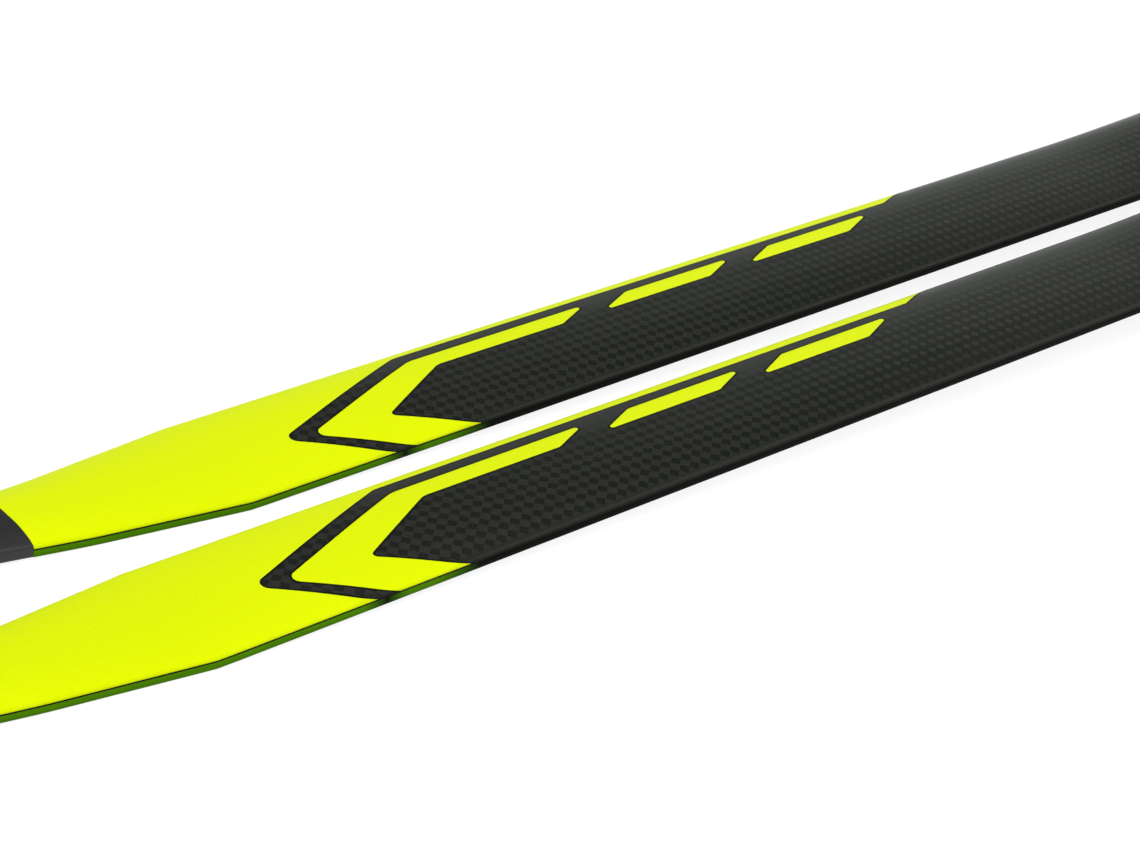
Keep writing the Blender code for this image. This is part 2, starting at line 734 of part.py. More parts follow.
def lever_spring():
    """Torsion spring round the pin: one leg under the lever's arm, one on the bridge."""
    steps = 8
    width = SPRING_TURNS * SPRING_PITCH
    points = []
    arm_end = Vector((SPRING_RADIUS + 4.0 * MM, -width / 2, 0.0))
    arm_end.z = LEVER_HUB_RADIUS - LEVER_ARM_THICKNESS - RUNNING_GAP - SPRING_WIRE_RADIUS
    points.append(arm_end)
    # The coil starts below the pin and ends behind it, level with its leg on the bridge.
    start = -math.pi / 2
    turn = 2 * math.pi * (SPRING_TURNS - 1) + math.radians(60.0)
    count = steps * SPRING_TURNS
    for i in range(count + 1):
        part = i / count
        angle = start - turn * part
        points.append(
            Vector((
                SPRING_RADIUS * math.cos(angle),
                width * (part - 0.5),
                SPRING_RADIUS * math.sin(angle),
            ))
        )
    bridge_end = Vector((BRIDGE_FRONT - LEVER_X - 4.0 * MM, width / 2, 0.0))
    bridge_end.z = BRIDGE_TOP - LEVER_Z + RUNNING_GAP + SPRING_WIRE_RADIUS
    points.append(bridge_end)
    curve = bpy.data.curves.new("lever_spring", "CURVE")
    curve.dimensions = "3D"
    curve.bevel_depth = SPRING_WIRE_RADIUS
    curve.bevel_resolution = 1
    curve.use_fill_caps = True
    spline = curve.splines.new("POLY")
    spline.points.add(len(points) - 1)
    for point, place in zip(spline.points, points):
        point.co = (*place, 1.0)
    thing = bpy.data.objects.new("lever_spring", curve)
    cutters.objects.link(thing)
    solid = evaluated(thing)
    bpy.data.objects.remove(thing)
    return solid


def lock_dial():
    """Knob with notches round its rim, a raised grip and the shaft of its clamp."""
    low = RUNNING_GAP
    high = low + DIAL_HEIGHT
    shaft_end = -DECK_THICKNESS
    profile = (
        (0.0, high),
        (DIAL_RADIUS - 1.0 * MM, high),
        (DIAL_RADIUS, high - 1.0 * MM),
        (DIAL_RADIUS, low),
        (DIAL_SHAFT_RADIUS, low),
        (DIAL_SHAFT_RADIUS, shaft_end),
        (0.0, shaft_end),
    )
    grip = box(
        (-DIAL_GRIP_LENGTH / 2, -DIAL_GRIP_WIDTH / 2, high - 0.5 * MM),
        (DIAL_GRIP_LENGTH / 2, DIAL_GRIP_WIDTH / 2, high + DIAL_GRIP_HEIGHT),
    )
    notches = []
    for i in range(DIAL_NOTCHES):
        angle = 2 * math.pi * (i + 0.5) / DIAL_NOTCHES
        reach = DIAL_RADIUS + 0.5 * DIAL_NOTCH_RADIUS
        notches.append(
            upright(
                reach * math.cos(angle),
                reach * math.sin(angle),
                low - 1.0 * MM,
                high + 1.0 * MM,
                DIAL_NOTCH_RADIUS,
                sides=10,
            )
        )
    return combined(turned(profile, 24), join=[grip], cut=notches)


def link_strip():
    rear = -HEEL_FRONT - STRIP_SOCKET_DEPTH + SEAT_GAP
    front = -HOUSING_REAR + STRIP_SOCKET_DEPTH - SEAT_GAP
    half = STRIP_WIDTH / 2
    return box((rear, -half, STRIP_BOTTOM), (front, half, STRIP_TOP))


def heel_pad_middle():
    return -(HEEL_REAR + HEEL_FRONT) / 2


def heel_plate():
    """Sliding block under the boot's heel, with a recess for its pad."""
    half = HEEL_WIDTH / 2
    outline = (
        (-HEEL_REAR, LIP_BOTTOM),
        (-HEEL_FRONT, LIP_BOTTOM),
        (-HEEL_FRONT, DECK_TOP - 3.0 * MM),
        (-HEEL_FRONT - 5.0 * MM, DECK_TOP),
        (-HEEL_REAR + 5.0 * MM, DECK_TOP),
        (-HEEL_REAR, DECK_TOP - 3.0 * MM),
    )
    long = HEEL_PAD_LENGTH / 2 + SEAT_GAP
    wide = HEEL_PAD_WIDTH / 2 + SEAT_GAP
    middle = heel_pad_middle()
    recess = box(
        (middle - long, -wide, DECK_TOP - HEEL_PAD_RECESS),
        (middle + long, wide, DECK_TOP + 1.0 * MM),
    )
    cut = [
        *rail_channel(-HEEL_REAR, -HEEL_FRONT),
        strip_socket(-HEEL_FRONT - STRIP_SOCKET_DEPTH, -HEEL_FRONT + 1.0 * MM),
        recess,
    ]
    return combined(prism(outline, half), cut=cut)


def heel_pad():
    long = HEEL_PAD_LENGTH / 2
    wide = HEEL_PAD_WIDTH / 2
    middle = heel_pad_middle()
    low = DECK_TOP - HEEL_PAD_RECESS + SEAT_GAP
    return box((middle - long, -wide, low), (middle + long, wide, DECK_TOP + HEEL_PAD_PROUD))


def paint(name, colour, roughness, metallic=0.0):
    material = bpy.data.materials.new(name)
    material.use_nodes = True
    shader = material.node_tree.nodes["Principled BSDF"]
    shader.inputs["Base Color"].default_value = (*colour, 1.0)
    shader.inputs["Roughness"].default_value = roughness
    shader.inputs["Metallic"].default_value = metallic
    return material


BLACK = (0.012, 0.014, 0.013)
CARBON = (0.022, 0.024, 0.022)
YELLOW = (0.79, 0.94, 0.004)
GREEN = (0.06, 0.19, 0.002)
STEEL = (0.6, 0.6, 0.6)


def bar_place():
    """Middle of the toe bar groove's plan, on the top sheet."""
    s = station(BAR_STATION)
    return Vector((s.x, 0.0, s.z + top_height(s, 0.0)))


def ski_shapes():
    """The bonded pieces of one ski, as meshes in the ski's own frame."""
    start = TAIL_PROTECTOR_LENGTH + GLUE_LINE
    end = SKI_LENGTH - TIP_PROTECTOR_LENGTH - GLUE_LINE
    whole = distances(start, end)
    bar = bar_place()
    holes = []
    for x, y in screw_places():
        hole = screw_hole(x, y)
        hole.transform(Matrix.Translation(bar))
        holes.append(hole)
    tail = [0.0, 0.3 * TAIL_CORNER_RADIUS, TAIL_CORNER_RADIUS, TAIL_PROTECTOR_LENGTH]
    tip = [SKI_LENGTH - part * TIP_CORNER_RADIUS for part in (1.0, 0.6, 0.3, 0.1, 0.0)]
    tip.insert(0, SKI_LENGTH - TIP_PROTECTOR_LENGTH)
    insert_start = PLATE_ZONE_START + GLUE_LINE
    insert_end = PLATE_ZONE_END - GLUE_LINE
    return {
        "running_base": loft("running_base", whole, base_ring),
        "left_wall": loft("left_wall", whole, sidewall_ring),
        "right_wall": loft("right_wall", whole, mirrored_sidewall_ring),
        "bottom_laminate": loft("bottom_laminate", whole, bottom_laminate_ring),
        "rear_core": loft("rear_core", distances(start, PLATE_ZONE_START), core_ring),
        "binding_insert": combined(
            loft("binding_insert", distances(insert_start, insert_end), core_ring), cut=holes
        ),
        "front_core": loft("front_core", distances(PLATE_ZONE_END, end), core_ring),
        "top_laminate": combined(loft("top_laminate", whole, top_laminate_ring), cut=holes),
        "top_sheet": combined(loft("top_sheet", whole, top_sheet_ring), cut=holes),
        "tail_protector": loft("tail_protector", tail, end_ring),
        "tip_protector": loft("tip_protector", tip, end_ring),
    }


def rounded(mesh, angle=30.0):
    """Smooth shading with crisp edges."""
    mesh.shade_smooth()
    mesh.set_sharp_from_angle(angle=math.radians(angle))
    return mesh


for thing in list(bpy.data.objects):
    bpy.data.objects.remove(thing, do_unlink=True)

parts = bpy.data.collections.new("cross_country_skis")
cutters = bpy.data.collections.new("cutters")
bpy.context.scene.collection.children.link(parts)
bpy.context.scene.collection.children.link(cutters)

PAINTS = {
    "running_base": paint("base_plastic", BLACK, 0.35),
    "inner_sidewall": paint("inner_sidewall_green", GREEN, 0.4),
    "outer_sidewall": paint("outer_sidewall_green", GREEN, 0.4),
    "bottom_laminate": paint("bottom_laminate_carbon", CARBON, 0.45),
    "rear_core": paint("rear_core_honeycomb", (0.62, 0.5, 0.3), 0.8),
    "binding_insert": paint("binding_insert_wood", (0.45, 0.28, 0.14), 0.7),
    "front_core": paint("front_core_honeycomb", (0.62, 0.5, 0.3), 0.8),
    "top_laminate": paint("top_laminate_carbon", BLACK, 0.45),
    "top_sheet": paint("top_sheet_print", CARBON, 0.3),
    "tail_protector": paint("tail_protector_plastic", BLACK, 0.4),
    "tip_protector": paint("tip_protector_plastic", BLACK, 0.4),
    "binding_plate": paint("binding_plate_plastic", (0.03, 0.03, 0.032), 0.5),
    "plate_screw": paint("plate_screw_steel", STEEL, 0.3, 1.0),
    "toe_housing": paint("toe_housing_plastic", (0.018, 0.018, 0.02), 0.4),
    "flexor": paint("flexor_rubber", (0.02, 0.02, 0.02), 0.7),
    "latch_jaw": paint("latch_jaw_steel", STEEL, 0.35, 1.0),
    "release_lever": paint("release_lever_plastic", YELLOW, 0.4),
    "lever_pin": paint("lever_pin_steel", STEEL, 0.3, 1.0),
    "lever_spring": paint("lever_spring_steel", STEEL, 0.3, 1.0),
    "lock_dial": paint("lock_dial_plastic", YELLOW, 0.4),
    "link_strip": paint("link_strip_plastic", (0.03, 0.03, 0.032), 0.5),
    "heel_plate": paint("heel_plate_plastic", (0.018, 0.018, 0.02), 0.4),
    "heel_pad": paint("heel_pad_rubber", (0.02, 0.02, 0.02), 0.7),
}

shapes = {name: rounded(mesh) for name, mesh in ski_shapes().items()}
screw_mesh = rounded(plate_screw())
CARRIAGE_SHAPES = {
    "toe_housing": (rounded(toe_housing()), (0.0, 0.0, 0.0)),
    "flexor": (rounded(flexor()), (0.0, 0.0, 0.0)),
    "latch_jaw": (rounded(latch_jaw()), (0.0, 0.0, 0.0)),
    "release_lever": (rounded(release_lever()), (LEVER_X, 0.0, LEVER_Z)),
    "lever_pin": (rounded(lever_pin()), (LEVER_X, 0.0, LEVER_Z)),
    "lever_spring": (rounded(lever_spring()), (LEVER_X, 0.0, LEVER_Z)),
    "lock_dial": (rounded(lock_dial()), (DIAL_X, 0.0, DECK_TOP)),
    "link_strip": (rounded(link_strip()), (0.0, 0.0, 0.0)),
    "heel_plate": (rounded(heel_plate()), (0.0, 0.0, 0.0)),
    "heel_pad": (rounded(heel_pad()), (0.0, 0.0, 0.0)),
}
plate_mesh = rounded(binding_plate())


def empty(name, parent, place):
    thing = bpy.data.objects.new(name, None)
    thing.empty_display_size = 0.05
    thing.parent = parent
    thing.location = place
    parts.objects.link(thing)
    return thing


def add_piece(name, mesh, look, parent, place=(0.0, 0.0, 0.0)):
    thing = bpy.data.objects.new(name, mesh.copy())
    thing.data.name = name
    thing.data.materials.clear()
    thing.data.materials.append(PAINTS[look])
    thing.parent = parent
    thing.location = place
    parts.objects.link(thing)
    return thing


def add_ski(side_name, side):
    """One ski of the pair; side is 1 for the left ski and -1 for the right one."""
    ski = empty(side_name + "_ski", None, (side * PAIR_STAGGER / 2, side * PAIR_SPACING / 2, 0.0))
    for name, mesh in shapes.items():
        look = name
        if name in ("left_wall", "right_wall"):
            outward = 1 if name == "left_wall" else -1
            look = "outer_sidewall" if outward == side else "inner_sidewall"
        add_piece(f"{look}_{side_name}", mesh, look, ski)
    bar = bar_place()
    add_piece(f"binding_plate_{side_name}", plate_mesh, "binding_plate", ski, bar)
    for number, (x, y) in enumerate(screw_places(), start=1):
        place = bar + Vector((x, y, PLATE_TOP))
        add_piece(f"plate_screw_{number}_{side_name}", screw_mesh, "plate_screw", ski, place)
    carriage = empty(f"{side_name}_carriage", ski, bar)
    for name, (mesh, place) in CARRIAGE_SHAPES.items():
        add_piece(f"{name}_{side_name}", mesh, name, carriage, place)


add_ski("left", 1)
add_ski("right", -1)
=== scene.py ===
"""Looks for the pair of cross country skis: printed carbon tops, sides, ends and bindings."""

import math

import bmesh
import bpy
from mathutils import Matrix, Vector, geometry, kdtree


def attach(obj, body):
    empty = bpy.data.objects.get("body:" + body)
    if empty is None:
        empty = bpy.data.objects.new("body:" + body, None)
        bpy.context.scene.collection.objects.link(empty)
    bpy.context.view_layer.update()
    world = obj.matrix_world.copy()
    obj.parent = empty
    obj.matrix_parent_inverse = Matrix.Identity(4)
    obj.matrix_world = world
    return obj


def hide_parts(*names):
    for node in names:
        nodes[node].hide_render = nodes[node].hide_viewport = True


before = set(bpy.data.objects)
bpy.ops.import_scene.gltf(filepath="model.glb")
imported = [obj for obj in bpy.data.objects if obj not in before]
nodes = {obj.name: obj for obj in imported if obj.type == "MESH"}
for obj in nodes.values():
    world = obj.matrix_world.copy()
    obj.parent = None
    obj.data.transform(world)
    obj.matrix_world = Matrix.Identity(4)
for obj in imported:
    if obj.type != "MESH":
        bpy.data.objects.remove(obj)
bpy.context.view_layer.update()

MM = 0.001

# ---------------------------------------------------------------------------------------------
# The ski's own shape, in millimetres: u runs along the base from the tail end, y across it.

SKI_LENGTH = 1900.0
CAMBER = math.radians(1.9313)
BASE_LINE = (  # length, slope at its start and at its end
    (26.0, math.radians(-2.0), math.radians(-2.0)),
    (8.0, math.radians(-2.0), 0.0),
    (36.0, 0.0, 0.0),
    (12.0, 0.0, CAMBER),
    (339.0, CAMBER, CAMBER),
    (200.0, CAMBER, 0.0),
    (462.0, 0.0, 0.0),
    (200.0, 0.0, -CAMBER),
    (339.0, -CAMBER, -CAMBER),
    (12.0, -CAMBER, 0.0),
    (36.0, 0.0, 0.0),
    (170.0, 0.0, math.radians(22.0)),
    (60.0, math.radians(22.0), math.radians(22.0)),
)
KINK = 75.0  # where the tail's straight taper ends
WAIST = 852.0
TIP_START = 1675.0
WIDTH = 44.0
TAIL_WIDTH = 24.5
WAIST_CUT = 0.4  # how much narrower the waist is
TIP_CUT = 26.0  # how much narrower the tip's end is
TIP_POWER = 2.2
TAIL_CORNER = 4.0
TIP_CORNER = 8.0
PLATE_START = 621.0
PLATE_END = 1083.0
REAR_RAMP = 190.0  # length over which the ski thickens to the plate, from behind
FRONT_RAMP = 330.0
BAR = 953.0  # the boot's toe bar
# Side height, crown and half width of the flat top: at the ends, and what the plate's zone adds.
SIDE_HEIGHT = (2.8, 7.2)
CROWN = (2.0, 4.0)
FLAT_TOP = (3.0, 10.5)
SHEET = 0.6
CORE_DEPTH = 1.77  # from the finished top to the top of the cores and sidewalls
TAIL_CAP = 14.0
TIP_CAP = 26.0
SEAM = 0.12
SIDEWALL = 3.0
RIM = 2.5  # how far from its edge the sheet starts to turn down
RIM_DROP = 0.95  # how far it has come down at the edge
LIP = 0.08  # thickness left at the edge
PAIR = {"left": (23.95, 28.4), "right": (-23.95, -28.4)}  # x and y of each ski's middle
BEND_STEPS = 12
TAIL_REST = 34.0  # where the base first touches the floor


def base_point(u):
    """X from the tail end, height and slope of the base."""
    x, z, angle, left = 0.0, 0.0, BASE_LINE[0][1], u
    for length, start, end in BASE_LINE:
        run = min(left, length)
        bend = (end - start) / length
        for i in range(BEND_STEPS):
            middle = start + bend * run * (i + 0.5) / BEND_STEPS
            x += math.cos(middle) * run / BEND_STEPS
            z += math.sin(middle) * run / BEND_STEPS
        angle = start + bend * run
        left -= run
        if left <= 0.0:
            break
    return x, z, angle


HALF_RUN = base_point(SKI_LENGTH)[0] / 2
FLOOR = base_point(TAIL_REST)[1]


def ease(value):
    value = min(1.0, max(0.0, value))
    return value * value * (3.0 - 2.0 * value)


def half_width(u):
    if u < KINK:
        width = (TAIL_WIDTH + (WIDTH - TAIL_WIDTH) * u / KINK) / 2
    elif u < WAIST:
        width = (WIDTH - WAIST_CUT * ease((u - KINK) / (WAIST - KINK))) / 2
    elif u < TIP_START:
        width = (WIDTH - WAIST_CUT + WAIST_CUT * ease((u - WAIST) / (TIP_START - WAIST))) / 2
    else:
        share = min(1.0, (u - TIP_START) / (SKI_LENGTH - TIP_START))
        width = (WIDTH - TIP_CUT * share ** TIP_POWER) / 2
    for distance, radius in ((u, TAIL_CORNER), (SKI_LENGTH - u, TIP_CORNER)):
        if distance < radius:
            width -= radius - math.sqrt(max(0.0, radius ** 2 - (radius - distance) ** 2))
    return width


class Station:
    """The ski's section at one place."""

    kept = {}

    def __init__(self, u):
        x, z, self.angle = base_point(u)
        self.x, self.z = x - HALF_RUN, z - FLOOR
        self.w = half_width(u)
        if u < WAIST:
            full = ease((u - PLATE_START + REAR_RAMP) / REAR_RAMP)
        else:
            full = ease((PLATE_END + FRONT_RAMP - u) / FRONT_RAMP)
        self.side = SIDE_HEIGHT[0] + SIDE_HEIGHT[1] * full
        self.crown = CROWN[0] + CROWN[1] * full
        self.flat = min(FLAT_TOP[0] + FLAT_TOP[1] * full, 0.5 * self.w)

    def top(self, y):
        """Height of the finished top over the base."""
        rise = max(0.0, abs(y) - self.flat) / (self.w - self.flat)
        return self.side + SEAM + SHEET + self.crown * (1.0 - min(1.0, rise) ** 2)

    def place(self, y, h):
        """A point of the section in the ski's own frame, in metres."""
        sine, cosine = math.sin(self.angle), math.cos(self.angle)
        return ((self.x - h * sine) * MM, y * MM, (self.z + h * cosine) * MM)


def station(u):
    key = round(u, 3)
    if key not in Station.kept:
        Station.kept[key] = Station(key)
    return Station.kept[key]


def local_x(u):
    """Place along the ski in its own frame, in metres, for the paint."""
    return station(u).x * MM


def steps(start, end, size):
    """Even steps from start to end, none longer than size."""
    count = max(1, math.ceil((end - start) / size - 1e-6))
    return [start + (end - start) * i / count for i in range(count + 1)]


SHEET_START = TAIL_CAP + SEAM
SHEET_END = SKI_LENGTH - TIP_CAP - SEAM
COLUMNS = sorted({  # places of the sheet's and the sides' sections
    round(u, 4)
    for low, high, size in (
        (SHEET_START, KINK, 4.0), (KINK, 420.0, 5.0), (420.0, PLATE_START, 8.0),
        (PLATE_START, PLATE_END, 5.0), (PLATE_END, 1410.0, 8.0), (1410.0, 1600.0, 8.0),
        (1600.0, SHEET_END, 4.0),
    )
    for u in steps(low, high, size)
})
PLACE = {side: Matrix.Translation((x * MM, y * MM, 0.0)) for side, (x, y) in PAIR.items()}

# ---------------------------------------------------------------------------------------------
# Mesh helpers.


def to_object(mesh, paint, side, body, slot, *stands_for):
    """A piece of one ski, named as its mesh, that rides on a body."""
    mesh.materials.append(paint)
    thing = bpy.data.objects.new(mesh.name, mesh)
    bpy.context.scene.collection.objects.link(thing)
    thing.matrix_world = PLACE[side]
    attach(thing, body)
    if stands_for:
        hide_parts(*stands_for)


def finished(build, name, sharp=35.0):
    """The built form as a mesh, smooth but for edges sharper than an angle in degrees."""
    bmesh.ops.recalc_face_normals(build, faces=build.faces)
    mesh = bpy.data.meshes.new(name)
    build.to_mesh(mesh)
    build.free()
    mesh.shade_smooth()
    mesh.set_sharp_from_angle(angle=math.radians(sharp))
    return mesh


def skin(build, rings):
    """Adds the closed solid through some rings of points in the ski's own frame."""
    rings = [[build.verts.new(point) for point in ring] for ring in rings]
    for near, far in zip(rings, rings[1:]):
        for i in range(len(near)):
            j = (i + 1) % len(near)
            build.faces.new((near[i], far[i], far[j], near[j]))
    build.faces.new(rings[0])
    build.faces.new(rings[-1][::-1])


def loft(name, places, ring):
    """A closed solid through one section at each place along the ski."""
    build = bmesh.new()
    skin(build, [[station(u).place(y, h) for y, h in ring(station(u))] for u in places])
    return finished(build, name)


def rounded_outline(corners):
    """Corners (x, y, radius) as a closed line whose corners are arcs."""
    line = []
    count = len(corners)
    for i, (x, y, radius) in enumerate(corners):
        here = Vector((x, y))
        back = Vector(corners[i - 1][:2]) - here
        ahead = Vector(corners[(i + 1) % count][:2]) - here
        half = back.angle(ahead) / 2
        if radius <= 0.0:
            line.append(here)
            continue
        reach = min(radius / math.tan(half), 0.45 * back.length, 0.45 * ahead.length)
        back, ahead = back.normalized(), ahead.normalized()
        start, end = here + back * reach, here + ahead * reach
        middle = here + (back + ahead).normalized() * (reach / math.cos(half))
        first, last = start - middle, end - middle
        turn = first.angle_signed(last)
        pieces = max(3, math.ceil(abs(turn) * max(1.0, first.length) / 0.5))
        for k in range(pieces + 1):
            spin = Matrix.Rotation(-turn * k / pieces, 2)
            line.append(middle + spin @ first)
    return line


def divided(line):
    """A closed line in short steps, and in very short ones where it crosses the sheet's rim."""
    points = []
    for a, b in zip(line, line[1:] + line[:1]):
        count = max(1, math.ceil((b - a).length / 2.5))
        coarse = [a.lerp(b, k / count) for k in range(count + 1)]
        for c, d in zip(coarse, coarse[1:]):
            w = half_width(min(max(c.x, 0.0), SKI_LENGTH))
            low, high = sorted((abs(c.y), abs(d.y)))
            fine = 8 if high > w - RIM and low < w + 2.0 and c.x < SKI_LENGTH else 1
            points += [c.lerp(d, k / fine) for k in range(fine)]
    return points


def grown(line, size):
    """A closed line moved outwards by size."""
    area = sum(a.x * b.y - b.x * a.y for a, b in zip(line, line[1:] + line[:1]))
    sign = 1.0 if area > 0 else -1.0
    cleaned = [p for p, q in zip(line, line[1:] + line[:1]) if (p - q).length > 1e-5]
    moved = []
    for before, here, after in zip(cleaned[-1:] + cleaned[:-1], cleaned, cleaned[1:] + cleaned[:1]):
        a, b = (here - before).normalized(), (after - here).normalized()
        normal_a, normal_b = Vector((a.y, -a.x)) * sign, Vector((b.y, -b.x)) * sign
        middle = (normal_a + normal_b).normalized()
        moved.append(here + middle * (size / max(0.35, middle.dot(normal_a))))
    return moved


def inside(point, line):
    x, y = point
    found = False
    for a, b in zip(line, line[1:] + line[:1]):
        if (a.y > y) != (b.y > y) and x < a.x + (b.x - a.x) * (y - a.y) / (b.y - a.y):
            found = not found
    return found


# ---------------------------------------------------------------------------------------------
# The printed top: regions of yellow and of bare carbon, with a thin black line between them.

# Places of the print, as x from the kink and y to the far side, with the radius of each corner.
PRINT_TAIL = (
    (-300.0, -60.0, 0.0), (93.2, -60.0, 0.0), (21.6, -3.8, 2.8), (75.3, 18.35, 7.0),
    (277.0, 17.0, 2.0), (384.5, 60.0, 0.0), (-300.0, 60.0, 0.0),
)
PRINT_CHEVRON = (
    (102.3, -60.0, 0.0), (30.3, -5.8, 2.4), (77.8, 13.7, 10.0), (144.2, 13.55, 0.8),
    (130.5, 7.1, 3.5), (83.6, 7.25, 6.0), (54.8, -8.4, 1.3), (128.6, -60.0, 0.0),
)
PRINT_DASHES = (
    ((147.0, 7.1, 0.7), (160.6, 13.5, 3.5), (203.8, 13.4, 0.8), (190.0, 6.95, 3.5)),
    ((206.5, 6.8, 0.7), (220.5, 13.35, 3.5), (265.4, 13.3, 0.8), (250.5, 6.6, 3.5)),
)
# The front end isn't in the photograph: a plain yellow nose and one bar, in u.
PRINT_NOSE = (
    (1748.0, 0.0, 4.0), (1792.0, 60.0, 0.0), (2100.0, 60.0, 0.0), (2100.0, -60.0, 0.0),
    (1792.0, -60.0, 0.0),
)
PRINT_BAR = (
    (1716.0, 0.0, 4.0), (1760.0, 60.0, 0.0), (1776.0, 60.0, 0.0), (1732.0, 0.0, 4.0),
    (1776.0, -60.0, 0.0), (1760.0, -60.0, 0.0),
)
LINE_WIDTH = 0.65


def print_lines():
    """The closed outlines of the yellow print, in u and y."""
    lines = []
    for corners in (PRINT_TAIL, PRINT_CHEVRON, *PRINT_DASHES):
        lines.append(rounded_outline([(KINK + x, y, radius) for x, y, radius in corners]))
    lines += [rounded_outline(list(corners)) for corners in (PRINT_NOSE, PRINT_BAR)]
    return lines


# Flat map of the sheet for cutting: s is even between the rims, and each rim's quarter turn is
# drawn wide. The print was measured on the plain crown, so on the rim, which lies lower, each
# place of it moves along the line of sight: SLANT is that move for each millimetre down.
FLAT_HALF = 20.0
FLAT_RIM = 5.0
SLANT = (1.218, 1.313)


def to_flat(u, y):
    """The place in the flat map of a place of the print."""
    inner = half_width(min(max(u, SHEET_START), SHEET_END)) - RIM
    across = abs(y) - inner
    if across <= 0.0:
        return Vector((u, y / inner * FLAT_HALF))
    low, high = 0.0, 1.5
    for _ in range(30):
        share = (low + high) / 2
        turn = share * math.pi / 2
        drop = RIM_DROP * (1.0 - math.cos(turn))
        reach = RIM * math.sin(min(turn, math.pi / 2)) + SLANT[1] * drop
        low, high = (share, high) if reach < across else (low, share)
    drop = RIM_DROP * (1.0 - math.cos(low * math.pi / 2))
    return Vector((u + SLANT[0] * drop, math.copysign(FLAT_HALF + FLAT_RIM * low, y)))


def sheet_spot(point):
    """The place on the ski of a point of the flat map."""
    u, s = point
    u = min(max(u, SHEET_START), SHEET_END)
    inner = half_width(u) - RIM
    if abs(s) <= FLAT_HALF:
        return u, s / FLAT_HALF * inner
    turn = min(1.0, (abs(s) - FLAT_HALF) / FLAT_RIM) * math.pi / 2
    return u, math.copysign(inner + RIM * math.sin(turn), s)


def rim_drop(s, y):
    """How far the sheet has come down at y, below the plain crown."""
    share = min(1.0, max(0.0, 1.0 - (s.w - abs(y)) / RIM))
    return RIM_DROP * (1.0 - math.sqrt(1.0 - share ** 2))


def sheet_top(s, y):
    return s.top(y) - rim_drop(s, y)


def sheet_bottom(s, y):
    return s.top(y) - max(SHEET, rim_drop(s, y) + LIP)


SCREWS = [(BAR + x, y) for x in (-180.0, -70.0) for y in (-8.5, 8.5)]
SCREW_HOLE = 1.8
HOLE_SIDES = 16
PRINT_REACH = 30.0  # the print's lines are cut off here, beyond the sheet's edges
CLEAR = 0.9  # no point of the plain grid is nearer than this to a line of the print


def cut_sheet():
    """Triangles of the top sheet, cut along the print, sorted into yellow, line and carbon."""
    outlines = print_lines()
    yellow = [divided(line) for line in outlines]
    border = [divided(grown(line, LINE_WIDTH)) for line in outlines]
    turns = [2 * math.pi * k / HOLE_SIDES for k in range(HOLE_SIDES)]
    holes = [
        [Vector((x + SCREW_HOLE * math.cos(a), y + SCREW_HOLE * math.sin(a))) for a in turns]
        for x, y in SCREWS
    ]
    edge = FLAT_HALF + FLAT_RIM
    points, lines = [], []

    def add_line(line):
        first = len(points)
        points.extend(line)
        last = len(points) - 1
        lines.extend((k, k + 1) for k in range(first, last))
        lines.append((last, first))

    yellow, border, holes = (
        [[to_flat(p.x, max(-PRINT_REACH, min(PRINT_REACH, p.y))) for p in line] for line in group]
        for group in (yellow, border, holes)
    )
    for line in (*yellow, *border, *holes):
        add_line(line)
    drawn = kdtree.KDTree(len(points))
    for k, point in enumerate(points):
        drawn.insert((point.x, point.y, 0.0), k)
    drawn.balance()
    rim = [FLAT_HALF + FLAT_RIM * part for part in (0.25, 0.5, 0.72, 0.88)]
    rows = [*rim, *(-r for r in rim), *(FLAT_HALF * k / 8.0 for k in range(-8, 9))]
    add_line([Vector((u, -edge)) for u in COLUMNS] + [Vector((u, edge)) for u in reversed(COLUMNS)])
    for u in COLUMNS:
        for s in rows:
            if drawn.find((u, s, 0.0))[2] > CLEAR:
                points.append(Vector((u, s)))
    flat_points, _, faces, *_ = geometry.delaunay_2d_cdt(points, lines, [], 0, 1e-5)
    sorted_faces = {"yellow": [], "line": [], "carbon": []}
    for face in faces:
        middle = sum((flat_points[k] for k in face), Vector((0.0, 0.0))) / len(face)
        if abs(middle.y) > edge or not SHEET_START < middle.x < SHEET_END:
            continue
        if any(inside(middle, hole) for hole in holes):
            continue
        if any(inside(middle, line) for line in yellow):
            sorted_faces["yellow"].append(face)
        elif any(inside(middle, line) for line in border):
            sorted_faces["line"].append(face)
        else:
            sorted_faces["carbon"].append(face)
    return [sheet_spot(p) for p in flat_points], sorted_faces


def sheet_solid(name, spots, faces):
    """A closed piece of the sheet over some of its triangles."""
    build = bmesh.new()
    upper, lower = {}, {}
    for k in {k for face in faces for k in face}:
        u, y = spots[k]
        s = station(u)
        upper[k] = build.verts.new(s.place(y, sheet_top(s, y)))
        lower[k] = build.verts.new(s.place(y, sheet_bottom(s, y)))
    sides = {}
    for face in faces:
        build.faces.new([upper[k] for k in face])
        build.faces.new([lower[k] for k in reversed(face)])
        for a, b in zip(face, face[1:] + face[:1]):
            sides[(a, b)] = sides.get((a, b), 0) + 1
    for a, b in sides:
        if (b, a) not in sides:
            build.faces.new((upper[b], upper[a], lower[a], lower[b]))
    return finished(build, name, 40.0)


# ---------------------------------------------------------------------------------------------
# Sections of the sides, the laminate under the sheet and the end caps.


def wall_ring(s):
    """The far sidewall, with its edges rounded."""
    top = s.top(s.w) - CORE_DEPTH + 0.2
    inner = s.w - SIDEWALL
    return [
        (s.w - 0.2, 0.0), (s.w - 0.06, 0.05), (s.w, 0.18), (s.w, 0.8),
        (s.w, top - 0.12), (s.w - 0.04, top - 0.03), (s.w - 0.14, top),
        (inner, s.top(inner) - CORE_DEPTH), (inner, 0.0),
    ]


def other_wall_ring(s):
    return [(-y, h) for y, h in reversed(wall_ring(s))]


